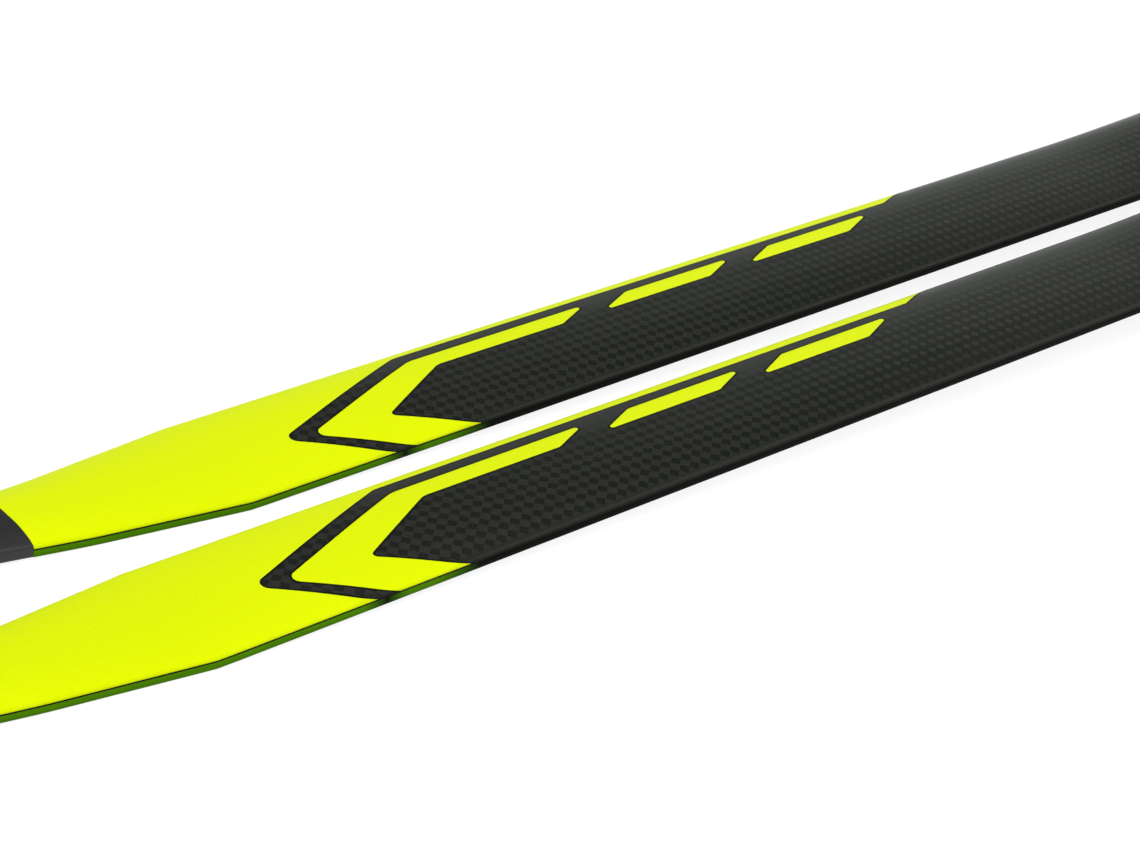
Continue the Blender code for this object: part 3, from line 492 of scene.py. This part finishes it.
def laminate_ring(s):
    """The carbon layer under the sheet, whose edge is the thin black line."""
    half = s.w - 0.06
    rim = [s.w - RIM * (1.0 - math.sin(k * math.pi / 12)) for k in range(6)]
    right = [half, *rim[:0:-1], *(rim[0] * k / 8.0 for k in range(8, 0, -1))]
    across = right + [0.0] + [-y for y in reversed(right)]
    upper = [(y, sheet_bottom(s, y) - 0.01) for y in across]
    lower = [(y, s.top(y) - SHEET - 0.95) for y in reversed(across)]
    return upper + lower


def cap_ring(s):
    """An end cap over the full depth of the ski."""
    edge = min(0.5, 0.3 * s.w)
    rim = s.top(s.w)
    upper = []
    for k in range(12, -13, -1):
        y = (s.w - edge) * k / 12.0
        upper.append((y, s.top(y)))
    left = [(s.w, rim - 0.55), (s.w - 0.08, rim - 0.2), (s.w - 0.25, rim - 0.03)]
    right = [(-y, h) for y, h in reversed(left)]
    bottom = [(-s.w, 0.4), (-s.w + 0.3, 0.0), (s.w - 0.3, 0.0), (s.w, 0.4)]
    return left + upper + right + bottom


# ---------------------------------------------------------------------------------------------
# Binding pieces, in millimetres from the boot's toe bar and from the top sheet under it.


def at_bar(x, y, z):
    """A point by its distance from the toe bar, in the ski's own frame, in metres."""
    s = station(BAR)
    left, _, up = s.place(0.0, s.top(0.0))
    return left + x * MM, y * MM, up + z * MM


def ridges(name, bars, edge):
    """Low bars (x, y, z ranges) with sloped edges, in one mesh."""
    build = bmesh.new()
    for (x0, x1), (y0, y1), (z0, z1) in bars:
        rings = []
        for i, z in ((0.0, z0), (0.0, z1 - edge), (edge, z1)):
            left, right, near, far = x0 + i, x1 - i, y0 + i, y1 - i
            corners = (left, near), (right, near), (right, far), (left, far)
            rings.append([at_bar(x, y, z) for x, y in corners])
        skin(build, rings)
    return finished(build, name)


TREAD_START, TREAD_END, TREAD_BOTTOM, TREAD_EDGE = -277.0, -233.0, 8.2, 9.3
TREAD_RIBS, TREAD_PITCH = 10, 4.4
TREAD_ROWS = (  # y, and how much lower the tread is there
    (-16.0, 0.4), (-15.6, 0.12), (-15.2, 0.0), (15.2, 0.0), (15.6, 0.12), (16.0, 0.4),
)
TREAD_RIB = ((0.3, 9.65), (0.55, 9.8), (3.05, 9.8), (3.3, 9.65))  # x and z
TREAD_GROOVE = ((3.55, 9.25), (4.15, 9.25))


def heel_tread(name):
    """Rubber pad with ribs across it."""
    rings = []
    for y, inset in TREAD_ROWS:
        line = [(TREAD_START, TREAD_BOTTOM), (TREAD_START, TREAD_EDGE - inset)]
        for k in range(TREAD_RIBS):
            start = TREAD_START + TREAD_PITCH * k
            form = TREAD_RIB + TREAD_GROOVE if k < TREAD_RIBS - 1 else TREAD_RIB
            line += [(start + x, z - inset) for x, z in form]
        line += [(TREAD_END, TREAD_EDGE - inset), (TREAD_END, TREAD_BOTTOM)]
        rings.append([at_bar(x, y, z) for x, z in line])
    build = bmesh.new()
    skin(build, rings)
    return finished(build, name, 28.0)


BUMPER_MIDDLE, BUMPER_BOTTOM = 23.0, 14.3
BUMPER_HALF, BUMPER_HEIGHT = 6.5, 10.0
BUMPER_OUTLINE = (  # x and z
    (16.5, 14.3), (16.5, 21.2), (16.8, 22.5), (17.6, 23.6), (18.8, 24.2), (20.2, 24.3),
    (26.6, 24.3), (28.0, 24.0), (29.0, 23.1), (29.45, 21.9), (29.5, 20.8), (29.5, 14.3),
)
BUMPER_END = ((-10.8, 0.9), (-10.65, 0.45), (-10.3, 0.12), (-9.8, 0.0))  # y and inset
BUMPER_GROOVES = (-6.6, -2.2, 2.2, 6.6)
BUMPER_GROOVE = ((-0.95, 0.0), (-0.6, 0.75), (0.6, 0.75), (0.95, 0.0))


def toe_bumper(name):
    """Rubber block that the boot bends against, with upright grooves."""
    cuts = list(BUMPER_END)
    for middle in BUMPER_GROOVES:
        cuts += [(middle + y, inset) for y, inset in BUMPER_GROOVE]
    cuts += [(-y, inset) for y, inset in reversed(BUMPER_END)]
    rings = []
    for y, inset in cuts:
        wide, tall = 1.0 - inset / BUMPER_HALF, 1.0 - inset / BUMPER_HEIGHT
        rings.append([
            at_bar(BUMPER_MIDDLE + (x - BUMPER_MIDDLE) * wide, y,
                   BUMPER_BOTTOM + (z - BUMPER_BOTTOM) * tall)
            for x, z in BUMPER_OUTLINE
        ])
    build = bmesh.new()
    skin(build, rings)
    return finished(build, name)


# Bars as ranges of x, y and z. Every fourth tick of the plate's two scales is a long one.
LEVER_RIDGES = [
    ((x, x + 1.4), (-9.5, 9.5), (18.8, 19.8)) for x in (58.6, 61.6, 64.6, 67.6, 70.6)
]
DECK_RIDGES = [((x, x + 1.8), (-14.0, 14.0), (9.0, 9.8)) for x in (-22.0, -18.2, -14.4, -10.6)]
PLATE_TICKS = [
    ((-165.0 + 5.0 * k, -164.2 + 5.0 * k), (y - reach, y + reach), (4.7, 4.92))
    for k in range(17) for y in (-10.0, 10.0) for reach in (3.4 if k % 4 == 0 else 1.8,)
]

# ---------------------------------------------------------------------------------------------
# Materials.


class Paint:
    """A node material with a few shorthands for its nodes."""

    def __init__(self, name):
        self.material = bpy.data.materials.new(name)
        self.material.use_nodes = True
        self.tree = self.material.node_tree
        self.shader = self.tree.nodes["Principled BSDF"]
        self.place = self.add("ShaderNodeTexCoord").outputs["Object"]

    def add(self, kind, **values):
        node = self.tree.nodes.new(kind)
        for key, value in values.items():
            setattr(node, key, value)
        return node

    def join(self, source, target):
        self.tree.links.new(source, target)

    def put(self, socket, value):
        if isinstance(value, bpy.types.NodeSocket):
            self.join(value, socket)
        else:
            socket.default_value = value

    def set(self, **values):
        for key, value in values.items():
            self.put(self.shader.inputs[key.replace("_", " ")], value)

    def math(self, kind, a, b=0.0, c=0.0):
        node = self.add("ShaderNodeMath", operation=kind)
        for socket, value in zip(node.inputs, (a, b, c)):
            self.put(socket, value)
        return node.outputs[0]

    def apart(self, vector):
        node = self.add("ShaderNodeSeparateXYZ")
        self.join(vector, node.inputs[0])
        return node.outputs

    def vector(self, x, y, z=0.0):
        node = self.add("ShaderNodeCombineXYZ")
        for socket, value in zip(node.inputs, (x, y, z)):
            self.put(socket, value)
        return node.outputs[0]

    def stretched(self, x, y, z):
        node = self.add("ShaderNodeMapping")
        self.join(self.place, node.inputs["Vector"])
        node.inputs["Scale"].default_value = (x, y, z)
        return node.outputs[0]

    def noise(self, scale, detail=2.0, vector=None):
        node = self.add("ShaderNodeTexNoise")
        self.join(vector or self.place, node.inputs["Vector"])
        node.inputs["Scale"].default_value = scale
        node.inputs["Detail"].default_value = detail
        return node.outputs["Fac"]

    def range(self, value, low, high, to_low=0.0, to_high=1.0, kind="LINEAR"):
        node = self.add("ShaderNodeMapRange", interpolation_type=kind)
        for name, part in (("Value", value), ("From Min", low), ("From Max", high),
                           ("To Min", to_low), ("To Max", to_high)):
            self.put(node.inputs[name], part)
        return node.outputs[0]

    def mix(self, part, a, b):
        node = self.add("ShaderNodeMix", data_type="RGBA")
        self.put(node.inputs["Factor"], part)
        for socket, value in zip([s for s in node.inputs if s.type == "RGBA"], (a, b)):
            self.put(socket, (*value, 1.0) if isinstance(value, tuple) else value)
        return [s for s in node.outputs if s.type == "RGBA"][0]

    def ramp(self, value, stops):
        """A colour by value, from (place, colour) stops."""
        node = self.add("ShaderNodeValToRGB")
        self.put(node.inputs[0], value)
        ramp = node.color_ramp
        while len(ramp.elements) > 1:
            ramp.elements.remove(ramp.elements[-1])
        ramp.elements[0].position = stops[0][0]
        ramp.elements[0].color = (*stops[0][1], 1.0)
        for place, colour in stops[1:]:
            ramp.elements.new(place).color = (*colour, 1.0)
        return node.outputs[0]

    def bump(self, height, strength, distance):
        node = self.add("ShaderNodeBump")
        node.inputs["Strength"].default_value = strength
        node.inputs["Distance"].default_value = distance
        self.join(height, node.inputs["Height"])
        self.join(node.outputs[0], self.shader.inputs["Normal"])


YELLOW = (0.785, 0.925, 0.0015)
YELLOW_DEEP = (0.745, 0.885, 0.0012)
GREEN = (0.100, 0.305, 0.0015)
GREEN_DEEP = (0.079, 0.238, 0.001)
BLACK = (0.0035, 0.0047, 0.0030)
TOW_LIGHT = (0.0232, 0.0243, 0.0204)
TOW_DARK = (0.0082, 0.0106, 0.0080)
# The light bundles among the dots, brighter than TOW_LIGHT: painted sheen.
DOT_SHEEN = (0.0285, 0.0285, 0.0245)
TOW = 2.662 * MM  # width of a bundle of the cloth
# Places of the carbon's changes: along the ski as u, across it as y in metres.
DOTS = (240.0, 340.0)  # the squares turn into dots: painted highlights on the bundles' crests
# where the light bundles among the dots grow brighter: painted sheen
DOTS_SHEEN_ZONE = (280.0, 360.0)
CHEVRON_SIDE = (130.0, 190.0)  # up to here the weave fades further out, by CHEVRON_SHIFT
CHEVRON_SHIFT = 0.008
DOTS_SHIFT = 0.004
# Partly painted sheen: the weave fades over this width towards the far side.
FAR_SHEEN_FADE = (0.003, 0.013)
RIM_FADE = (0.0203, 0.0213)
NEAR_FADE = (-0.019, -0.009)
NEAR_RUBBED = (-0.0212, -0.0192)
FAR_POLISHED = (0.015, 0.02)


def scaled(colour, factor):
    return tuple(factor * c for c in colour)


def carbon_paint():
    """Plain-woven carbon under a satin lacquer, its bundles at 45 degrees to the ski."""
    p = Paint("woven_carbon")
    x, y, _ = p.apart(p.place)
    turn = math.pi / (TOW * math.sqrt(2.0))
    along = p.math("MULTIPLY", p.math("ADD", x, y), turn)
    across = p.math("MULTIPLY", p.math("SUBTRACT", x, y), turn)
    waves = p.math("SINE", along), p.math("SINE", across)
    soft = p.math("MULTIPLY", *waves)
    square = p.math("MULTIPLY", *(p.range(w, -0.5, 0.5, -1.0, 1.0, "SMOOTHSTEP") for w in waves))
    cell = p.math("MULTIPLY_ADD", square, 0.4, p.math("MULTIPLY", soft, 0.6))
    wander = p.math("MULTIPLY_ADD", p.noise(260.0, 2.0), 0.4, -0.2)
    # Towards the middle of the ski the cloth is painted as light dots instead of dark squares:
    # painted highlights on the bundles' crests, where they catch the light.
    later = p.range(x, *map(local_x, DOTS), kind="SMOOTHSTEP")
    low = p.math("MULTIPLY_ADD", later, -0.72, -0.2)
    high = p.math("MULTIPLY_ADD", later, -0.48, 0.42)
    sharp = p.range(p.math("ADD", cell, wander), low, high, kind="SMOOTHSTEP")
    # The weave fades to the far side, further out beside the chevron and at the dots: partly the
    # cloth's own faint weave, partly painted sheen standing in for the lacquer's reflection washing
    # the weave out there. It fades on the rims too, and the dots fade to the near side.
    shift = p.range(x, *map(local_x, CHEVRON_SIDE), CHEVRON_SHIFT, 0.0, "SMOOTHSTEP")
    out = p.math("MULTIPLY_ADD", later, -DOTS_SHIFT, p.math("SUBTRACT", y, shift))
    strength = p.math("MULTIPLY", p.range(out, *FAR_SHEEN_FADE, 1.0, 0.3, "SMOOTHSTEP"),
                      p.range(p.math("ABSOLUTE", y), *RIM_FADE, 1.0, 0.15, "SMOOTHSTEP"))
    loss = p.math("MULTIPLY", later, p.range(y, *NEAR_FADE, 0.4, 0.0, "SMOOTHSTEP"))
    strength = p.math("MULTIPLY", strength, p.math("SUBTRACT", 1.0, loss))
    dark = p.math("MULTIPLY_ADD", p.math("SUBTRACT", sharp, 0.5), strength, 0.5)
    grain_a, grain_b = (
        p.noise(1.0, 2.0, p.vector(p.math("MULTIPLY", along, a), p.math("MULTIPLY", across, b)))
        for a, b in ((0.35, 6.0), (6.0, 0.35))
    )
    fibres = p.math("ADD", p.math("MULTIPLY", grain_a, dark),
                    p.math("MULTIPLY", grain_b, p.math("SUBTRACT", 1.0, dark)))
    shade = p.range(fibres, 0.25, 0.75)
    light = p.mix(shade, scaled(TOW_LIGHT, 0.72), scaled(TOW_LIGHT, 1.25))
    # Painted sheen: among the dots the light bundles turn brighter.
    light = p.mix(p.range(x, *map(local_x, DOTS_SHEEN_ZONE)), light, DOT_SHEEN)
    deep = p.mix(shade, scaled(TOW_DARK, 0.8), scaled(TOW_DARK, 1.2))
    p.set(Base_Color=p.mix(dark, light, deep))
    p.set(Roughness=p.range(dark, 0.0, 1.0, 0.46, 0.38))
    dome = p.math("ADD", p.math("ABSOLUTE", soft), p.math("MULTIPLY", fibres, 0.12))
    p.bump(dome, 0.35, 0.00008)
    # The lacquer is duller along the near rim, and at its full gloss only along the far one.
    p.set(Coat_Weight=p.math("ADD", p.range(y, *NEAR_RUBBED, 0.2, 0.8, "SMOOTHSTEP"),
                             p.range(y, *FAR_POLISHED, 0.0, 0.2, "SMOOTHSTEP")))
    p.set(Coat_Roughness=0.24, Coat_IOR=1.5, Specular_IOR_Level=0.0)
    return p.material


def yellow_paint():
    p = Paint("yellow_print")
    speckle = p.noise(1500.0, 2.0)
    cloud = p.noise(14.0, 2.0)
    part = p.math("ADD", p.math("MULTIPLY", speckle, 0.6), p.math("MULTIPLY", cloud, 0.4))
    p.set(Base_Color=p.mix(p.range(part, 0.35, 0.65), YELLOW_DEEP, YELLOW))
    p.set(Roughness=p.range(speckle, 0.3, 0.7, 0.34, 0.42))
    p.bump(p.noise(2600.0, 2.0), 0.04, 0.00003)
    p.set(Specular_IOR_Level=0.1, Specular_Tint=(0.8, 0.95, 0.05, 1.0))
    return p.material


def line_paint():
    p = Paint("black_print")
    cloud = p.noise(900.0, 2.0)
    p.set(Base_Color=p.mix(cloud, scaled(BLACK, 0.7), scaled(BLACK, 1.3)))
    p.set(Roughness=p.range(cloud, 0.3, 0.7, 0.3, 0.4))
    p.set(Specular_IOR_Level=0.1)
    return p.material


def side_paint(name, stops):
    """Sidewall that is green beside the yellow print and black beside the carbon."""
    p = Paint(name)
    low, high = local_x(0.0), local_x(SKI_LENGTH)
    share = p.range(p.apart(p.place)[0], low, high)
    streak = p.noise(1.0, 3.0, p.stretched(60.0, 60.0, 2500.0))
    green = p.mix(p.range(streak, 0.3, 0.7), GREEN_DEEP, GREEN)
    black = p.mix(p.range(streak, 0.3, 0.7), scaled(BLACK, 0.7), scaled(BLACK, 1.4))
    level = [((local_x(u) - low) / (high - low), (v, v, v)) for u, v in stops]
    p.set(Base_Color=p.mix(p.ramp(share, level), black, green))
    p.set(Roughness=p.range(streak, 0.3, 0.7, 0.36, 0.5))
    p.bump(streak, 0.08, 0.00004)
    p.set(Specular_IOR_Level=0.03)
    return p.material


def grained_paint(name, low, high, roughness, scale, strength, level=0.5):
    """Moulded plastic or rubber: a fine grain and small changes of shade."""
    p = Paint(name)
    grain = p.noise(scale, 3.0)
    cloud = p.noise(40.0, 2.0)
    p.set(Base_Color=p.mix(p.range(cloud, 0.3, 0.7), low, high))
    p.set(Roughness=p.range(grain, 0.3, 0.7, roughness - 0.06, roughness + 0.06))
    p.bump(grain, strength, 0.0001)
    p.set(Specular_IOR_Level=level)
    return p.material


def steel_paint():
    p = Paint("brushed_steel")
    brush = p.noise(1.0, 3.0, p.stretched(150.0, 4000.0, 4000.0))
    p.set(Base_Color=p.mix(p.range(brush, 0.3, 0.7), (0.46, 0.46, 0.47), (0.64, 0.64, 0.65)))
    p.set(Roughness=p.range(brush, 0.3, 0.7, 0.26, 0.4))
    p.bump(brush, 0.08, 0.00004)
    p.set(Metallic=1.0)
    return p.material


def base_paint():
    """Sintered base with the fine lines of a stone grind."""
    p = Paint("ground_base")
    grind = p.noise(1.0, 3.0, p.stretched(12.0, 2600.0, 1.0))
    p.set(Base_Color=p.mix(p.range(grind, 0.3, 0.7), (0.006, 0.006, 0.0065),
                           (0.018, 0.018, 0.019)))
    p.set(Roughness=p.range(grind, 0.3, 0.7, 0.3, 0.45))
    p.bump(grind, 0.2, 0.00006)
    return p.material


def core_paint(name, low, high):
    p = Paint(name)
    grain = p.noise(1.0, 4.0, p.stretched(20.0, 600.0, 600.0))
    p.set(Base_Color=p.mix(p.range(grain, 0.3, 0.7), low, high))
    p.set(Roughness=p.range(grain, 0.3, 0.7, 0.65, 0.85))
    return p.material


CARBON = carbon_paint()
YELLOW_PRINT = yellow_paint()
LINE_PRINT = line_paint()
LAMINATE = grained_paint("laminate_black", (0.003, 0.004, 0.003), (0.008, 0.009, 0.007),
                         0.4, 1800.0, 0.05, 0.06)
CAP = grained_paint("cap_plastic", (0.010, 0.010, 0.011), (0.018, 0.018, 0.019), 0.42, 1600.0, 0.08)
HOUSING = grained_paint("housing_plastic", (0.011, 0.011, 0.012), (0.02, 0.02, 0.021),
                        0.42, 1500.0, 0.1)
PLATE = grained_paint("plate_plastic", (0.022, 0.022, 0.024), (0.036, 0.036, 0.038),
                      0.5, 1500.0, 0.1)
RUBBER = grained_paint("rubber", (0.012, 0.012, 0.012), (0.022, 0.022, 0.022), 0.72, 1100.0, 0.15)
LEVER = grained_paint("lever_plastic", YELLOW_DEEP, YELLOW, 0.4, 1500.0, 0.06, 0.35)
STEEL = steel_paint()
BASE = base_paint()
HONEYCOMB = core_paint("core_paper", (0.5, 0.4, 0.24), (0.66, 0.54, 0.34))
WOOD = core_paint("insert_wood", (0.36, 0.21, 0.1), (0.52, 0.34, 0.18))
TICKS = grained_paint("tick_print", (0.42, 0.43, 0.42), (0.52, 0.53, 0.52), 0.5, 1500.0, 0.05, 0.3)

NODE_LOOKS = {
    "running_base": BASE, "bottom_laminate": LAMINATE, "rear_core": HONEYCOMB,
    "front_core": HONEYCOMB, "binding_insert": WOOD, "top_laminate": LAMINATE,
    "top_sheet": CARBON, "tail_protector": CAP,
    "tip_protector": CAP, "binding_plate": PLATE, "plate_screw_1": STEEL, "plate_screw_2": STEEL,
    "plate_screw_3": STEEL, "plate_screw_4": STEEL, "toe_housing": HOUSING, "flexor": RUBBER,
    "latch_jaw": STEEL, "release_lever": LEVER, "lever_pin": STEEL, "lever_spring": STEEL,
    "lock_dial": LEVER, "link_strip": PLATE, "heel_plate": HOUSING, "heel_pad": RUBBER,
    "inner_sidewall": LAMINATE, "outer_sidewall": LAMINATE,
}
BEVELS = {  # millimetres
    "toe_housing": 0.6, "heel_plate": 0.8, "binding_plate": 0.3, "latch_jaw": 0.25,
    "release_lever": 0.35, "lock_dial": 0.25, "link_strip": 0.2, "lever_pin": 0.2,
}
BEVEL_ANGLE = math.radians(32.0)
for name, thing in nodes.items():
    kind = name.rsplit("_", 1)[0]
    thing.data.materials.clear()
    thing.data.materials.append(NODE_LOOKS[kind])
    if kind in BEVELS:
        bevel = thing.modifiers.new("rounded", "BEVEL")
        bevel.width = BEVELS[kind] * MM
        bevel.segments = 3
        bevel.limit_method = "ANGLE"
        bevel.angle_limit = BEVEL_ANGLE

# ---------------------------------------------------------------------------------------------
# The skis.

# u along the ski, and how green the side is there.
NEAR_STOPS = ((0.0, 1.0), (119.0, 1.0), (125.0, 0.0), (127.5, 0.05), (132.5, 1.0), (142.0, 1.0),
              (154.0, 0.0), (1758.0, 0.0), (1764.0, 1.0), (1900.0, 1.0))
FAR_STOPS = ((0.0, 1.0), (350.0, 1.0), (362.0, 0.0), (1758.0, 0.0), (1764.0, 1.0), (1900.0, 1.0))
NEAR_SIDE = side_paint("near_side", NEAR_STOPS)
FAR_SIDE = side_paint("far_side", FAR_STOPS)

TAIL_CAP_PLACES = [0.0, 0.15, 0.5, 1.0, 1.8, 2.8, 4.0, 7.0, 10.0, 13.0, TAIL_CAP]
TIP_CAP_PLACES = [SKI_LENGTH - p for p in
                  (TIP_CAP, 22.0, 18.0, 14.0, 11.0, 8.0, 6.0, 4.2, 2.8, 1.6, 0.8, 0.25, 0.0)]

spots, faces = cut_sheet()
for side in ("left", "right"):
    ski = side + "_ski"
    for kind, paint in (("carbon", CARBON), ("yellow", YELLOW_PRINT), ("line", LINE_PRINT)):
        mesh = sheet_solid(f"printed_top_{kind}_{side}", spots, faces[kind])
        to_object(mesh, paint, side, ski, "top_sheet", f"top_sheet_{side}")
    near, far = ("inner", "outer") if side == "left" else ("outer", "inner")
    for which, ring, paint in ((far, wall_ring, FAR_SIDE), (near, other_wall_ring, NEAR_SIDE)):
        mesh = loft(f"{which}_side_{side}", COLUMNS, ring)
        to_object(mesh, paint, side, ski, "sidewall", f"{which}_sidewall_{side}")
    mesh = loft(f"carbon_layer_{side}", COLUMNS, laminate_ring)
    to_object(mesh, LAMINATE, side, ski, "laminate", f"top_laminate_{side}")
    for which, places in (("tail", TAIL_CAP_PLACES), ("tip", TIP_CAP_PLACES)):
        mesh = loft(f"{which}_cap_{side}", places, cap_ring)
        to_object(mesh, CAP, side, ski, "protector", f"{which}_protector_{side}")

    carriage = side + "_carriage"
    mesh = heel_tread(f"heel_tread_{side}")
    to_object(mesh, RUBBER, side, carriage, "rubber", f"heel_pad_{side}")
    mesh = toe_bumper(f"toe_bumper_{side}")
    to_object(mesh, RUBBER, side, carriage, "rubber", f"flexor_{side}")
    for name, bars, edge, paint, body, slot in (
        ("deck_ridges", DECK_RIDGES, 0.3, RUBBER, carriage, "rubber"),
        ("lever_ridges", LEVER_RIDGES, 0.4, LEVER, side + "_lever", "lever"),
        ("plate_ticks", PLATE_TICKS, 0.08, TICKS, ski, "plate"),
    ):
        to_object(ridges(f"{name}_{side}", bars, edge), paint, side, body, slot)

# ---------------------------------------------------------------------------------------------
# Floor, light and camera.

FLOOR_HALF = 30.0
FLOOR_DEPTH = 0.0003  # just below the skis
FLOOR_GREY = 0.25
FLOOR_LIFT = 0.88  # the floor's own white, seen and mirrored but lighting nothing
SKY_LEAN = (-0.35, 0.35, 1.0)
SKY_COOL = (0.95, 1.0, 0.96)  # tint of the light below SKY_COOL_TOP
SKY_COOL_TOP = 0.6
# Brightness of the studio by height, a little lower towards the skis' tips.
SKY = (
    (0.0, 0.92), (0.13, 0.86), (0.22, 0.52), (0.284, 0.4), (0.397, 0.38), (0.47, 0.26),
    (0.5, 0.17), (0.53, 0.09), (0.56, 0.04), (0.61, 0.02), (0.7, 0.06), (1.0, 0.97),
)
LAMPS = (  # name, strength, spread in degrees, and where it stands
    ("softbox", 1.3, 60.0, (-0.30, -0.36, 0.88)),
    ("edge_light", 0.6, 36.0, (0.594, -0.37, 0.715)),
)
floor_mesh = bpy.data.meshes.new("floor")
floor_mesh.from_pydata(
    [(-FLOOR_HALF, -FLOOR_HALF, 0.0), (FLOOR_HALF, -FLOOR_HALF, 0.0),
     (FLOOR_HALF, FLOOR_HALF, 0.0), (-FLOOR_HALF, FLOOR_HALF, 0.0)], [], [(0, 1, 2, 3)],
)
floor = bpy.data.objects.new("floor", floor_mesh)
floor.location.z = -FLOOR_DEPTH
bpy.context.scene.collection.objects.link(floor)
floor_look = bpy.data.materials.new("floor")
floor_look.use_nodes = True
tree = floor_look.node_tree
shader = tree.nodes["Principled BSDF"]
shader.inputs["Base Color"].default_value = (FLOOR_GREY, FLOOR_GREY, FLOOR_GREY, 1.0)
shader.inputs["Roughness"].default_value = 0.9
shader.inputs["Specular IOR Level"].default_value = 0.0
shader.inputs["Emission Color"].default_value = (1.0, 1.0, 1.0, 1.0)
path = tree.nodes.new("ShaderNodeLightPath")
seen = path.outputs["Is Camera Ray"]
for more in ("Is Glossy Ray", "Is Transmission Ray"):
    either = tree.nodes.new("ShaderNodeMath")
    either.operation = "MAXIMUM"
    tree.links.new(seen, either.inputs[0])
    tree.links.new(path.outputs[more], either.inputs[1])
    seen = either.outputs[0]
lift = tree.nodes.new("ShaderNodeMath")
lift.operation = "MULTIPLY"
lift.inputs[1].default_value = FLOOR_LIFT
tree.links.new(seen, lift.inputs[0])
tree.links.new(lift.outputs[0], shader.inputs["Emission Strength"])
floor_mesh.materials.append(floor_look)

world = bpy.context.scene.world or bpy.data.worlds.new("studio")
bpy.context.scene.world = world
world.use_nodes = True
tree = world.node_tree
background = tree.nodes["Background"]
where = tree.nodes.new("ShaderNodeTexCoord")
lean = tree.nodes.new("ShaderNodeVectorMath")
lean.operation = "DOT_PRODUCT"
lean.inputs[1].default_value = SKY_LEAN
ramp = tree.nodes.new("ShaderNodeValToRGB")
tree.links.new(where.outputs["Generated"], lean.inputs[0])
tree.links.new(lean.outputs["Value"], ramp.inputs[0])
tree.links.new(ramp.outputs[0], background.inputs["Color"])
ramp.color_ramp.elements.remove(ramp.color_ramp.elements[1])
for k, (place, level) in enumerate(SKY):
    stop = ramp.color_ramp.elements.new(place) if k else ramp.color_ramp.elements[0]
    stop.position = place
    tint = SKY_COOL if place < SKY_COOL_TOP else (1.0, 1.0, 1.0)
    stop.color = (*scaled(tint, level), 1.0)
background.inputs["Strength"].default_value = 1.0

for name, strength, spread, toward in LAMPS:
    lamp = bpy.data.lights.new(name, "SUN")
    lamp.energy = strength
    lamp.angle = math.radians(spread)
    light = bpy.data.objects.new(name, lamp)
    bpy.context.scene.collection.objects.link(light)
    light.rotation_mode = "QUATERNION"
    light.rotation_quaternion = Vector(toward).to_track_quat("Z", "Y")

# The photograph's camera, solved from the left ski's kink: X along the ski, Z up from the floor.
CAMERA_PLACE = Vector((-357.87, -527.03, 378.75))
CAMERA_VIEW = Vector((0.594012, 0.639889, -0.487537))
CAMERA_UP = Vector((0.245273, 0.433129, 0.867318))
CAMERA_LENS = 85.804
back = -CAMERA_VIEW.normalized()
right = CAMERA_UP.cross(back).normalized()
up = back.cross(right)
camera_data = bpy.data.cameras.new("camera")
camera_data.sensor_fit = "HORIZONTAL"
camera_data.sensor_width = 36.0
camera_data.lens = CAMERA_LENS
camera_data.clip_start = 0.01
camera_data.clip_end = 200.0
camera = bpy.data.objects.new("camera", camera_data)
bpy.context.scene.collection.objects.link(camera)
spot = PLACE["left"] @ (Vector((local_x(KINK), 0.0, 0.0)) + CAMERA_PLACE * MM)
camera.matrix_world = Matrix((
    (right.x, up.x, back.x, spot.x), (right.y, up.y, back.y, spot.y),
    (right.z, up.z, back.z, spot.z), (0.0, 0.0, 0.0, 1.0),
))
bpy.context.scene.camera = camera
bpy.context.scene.view_settings.view_transform = "Standard"
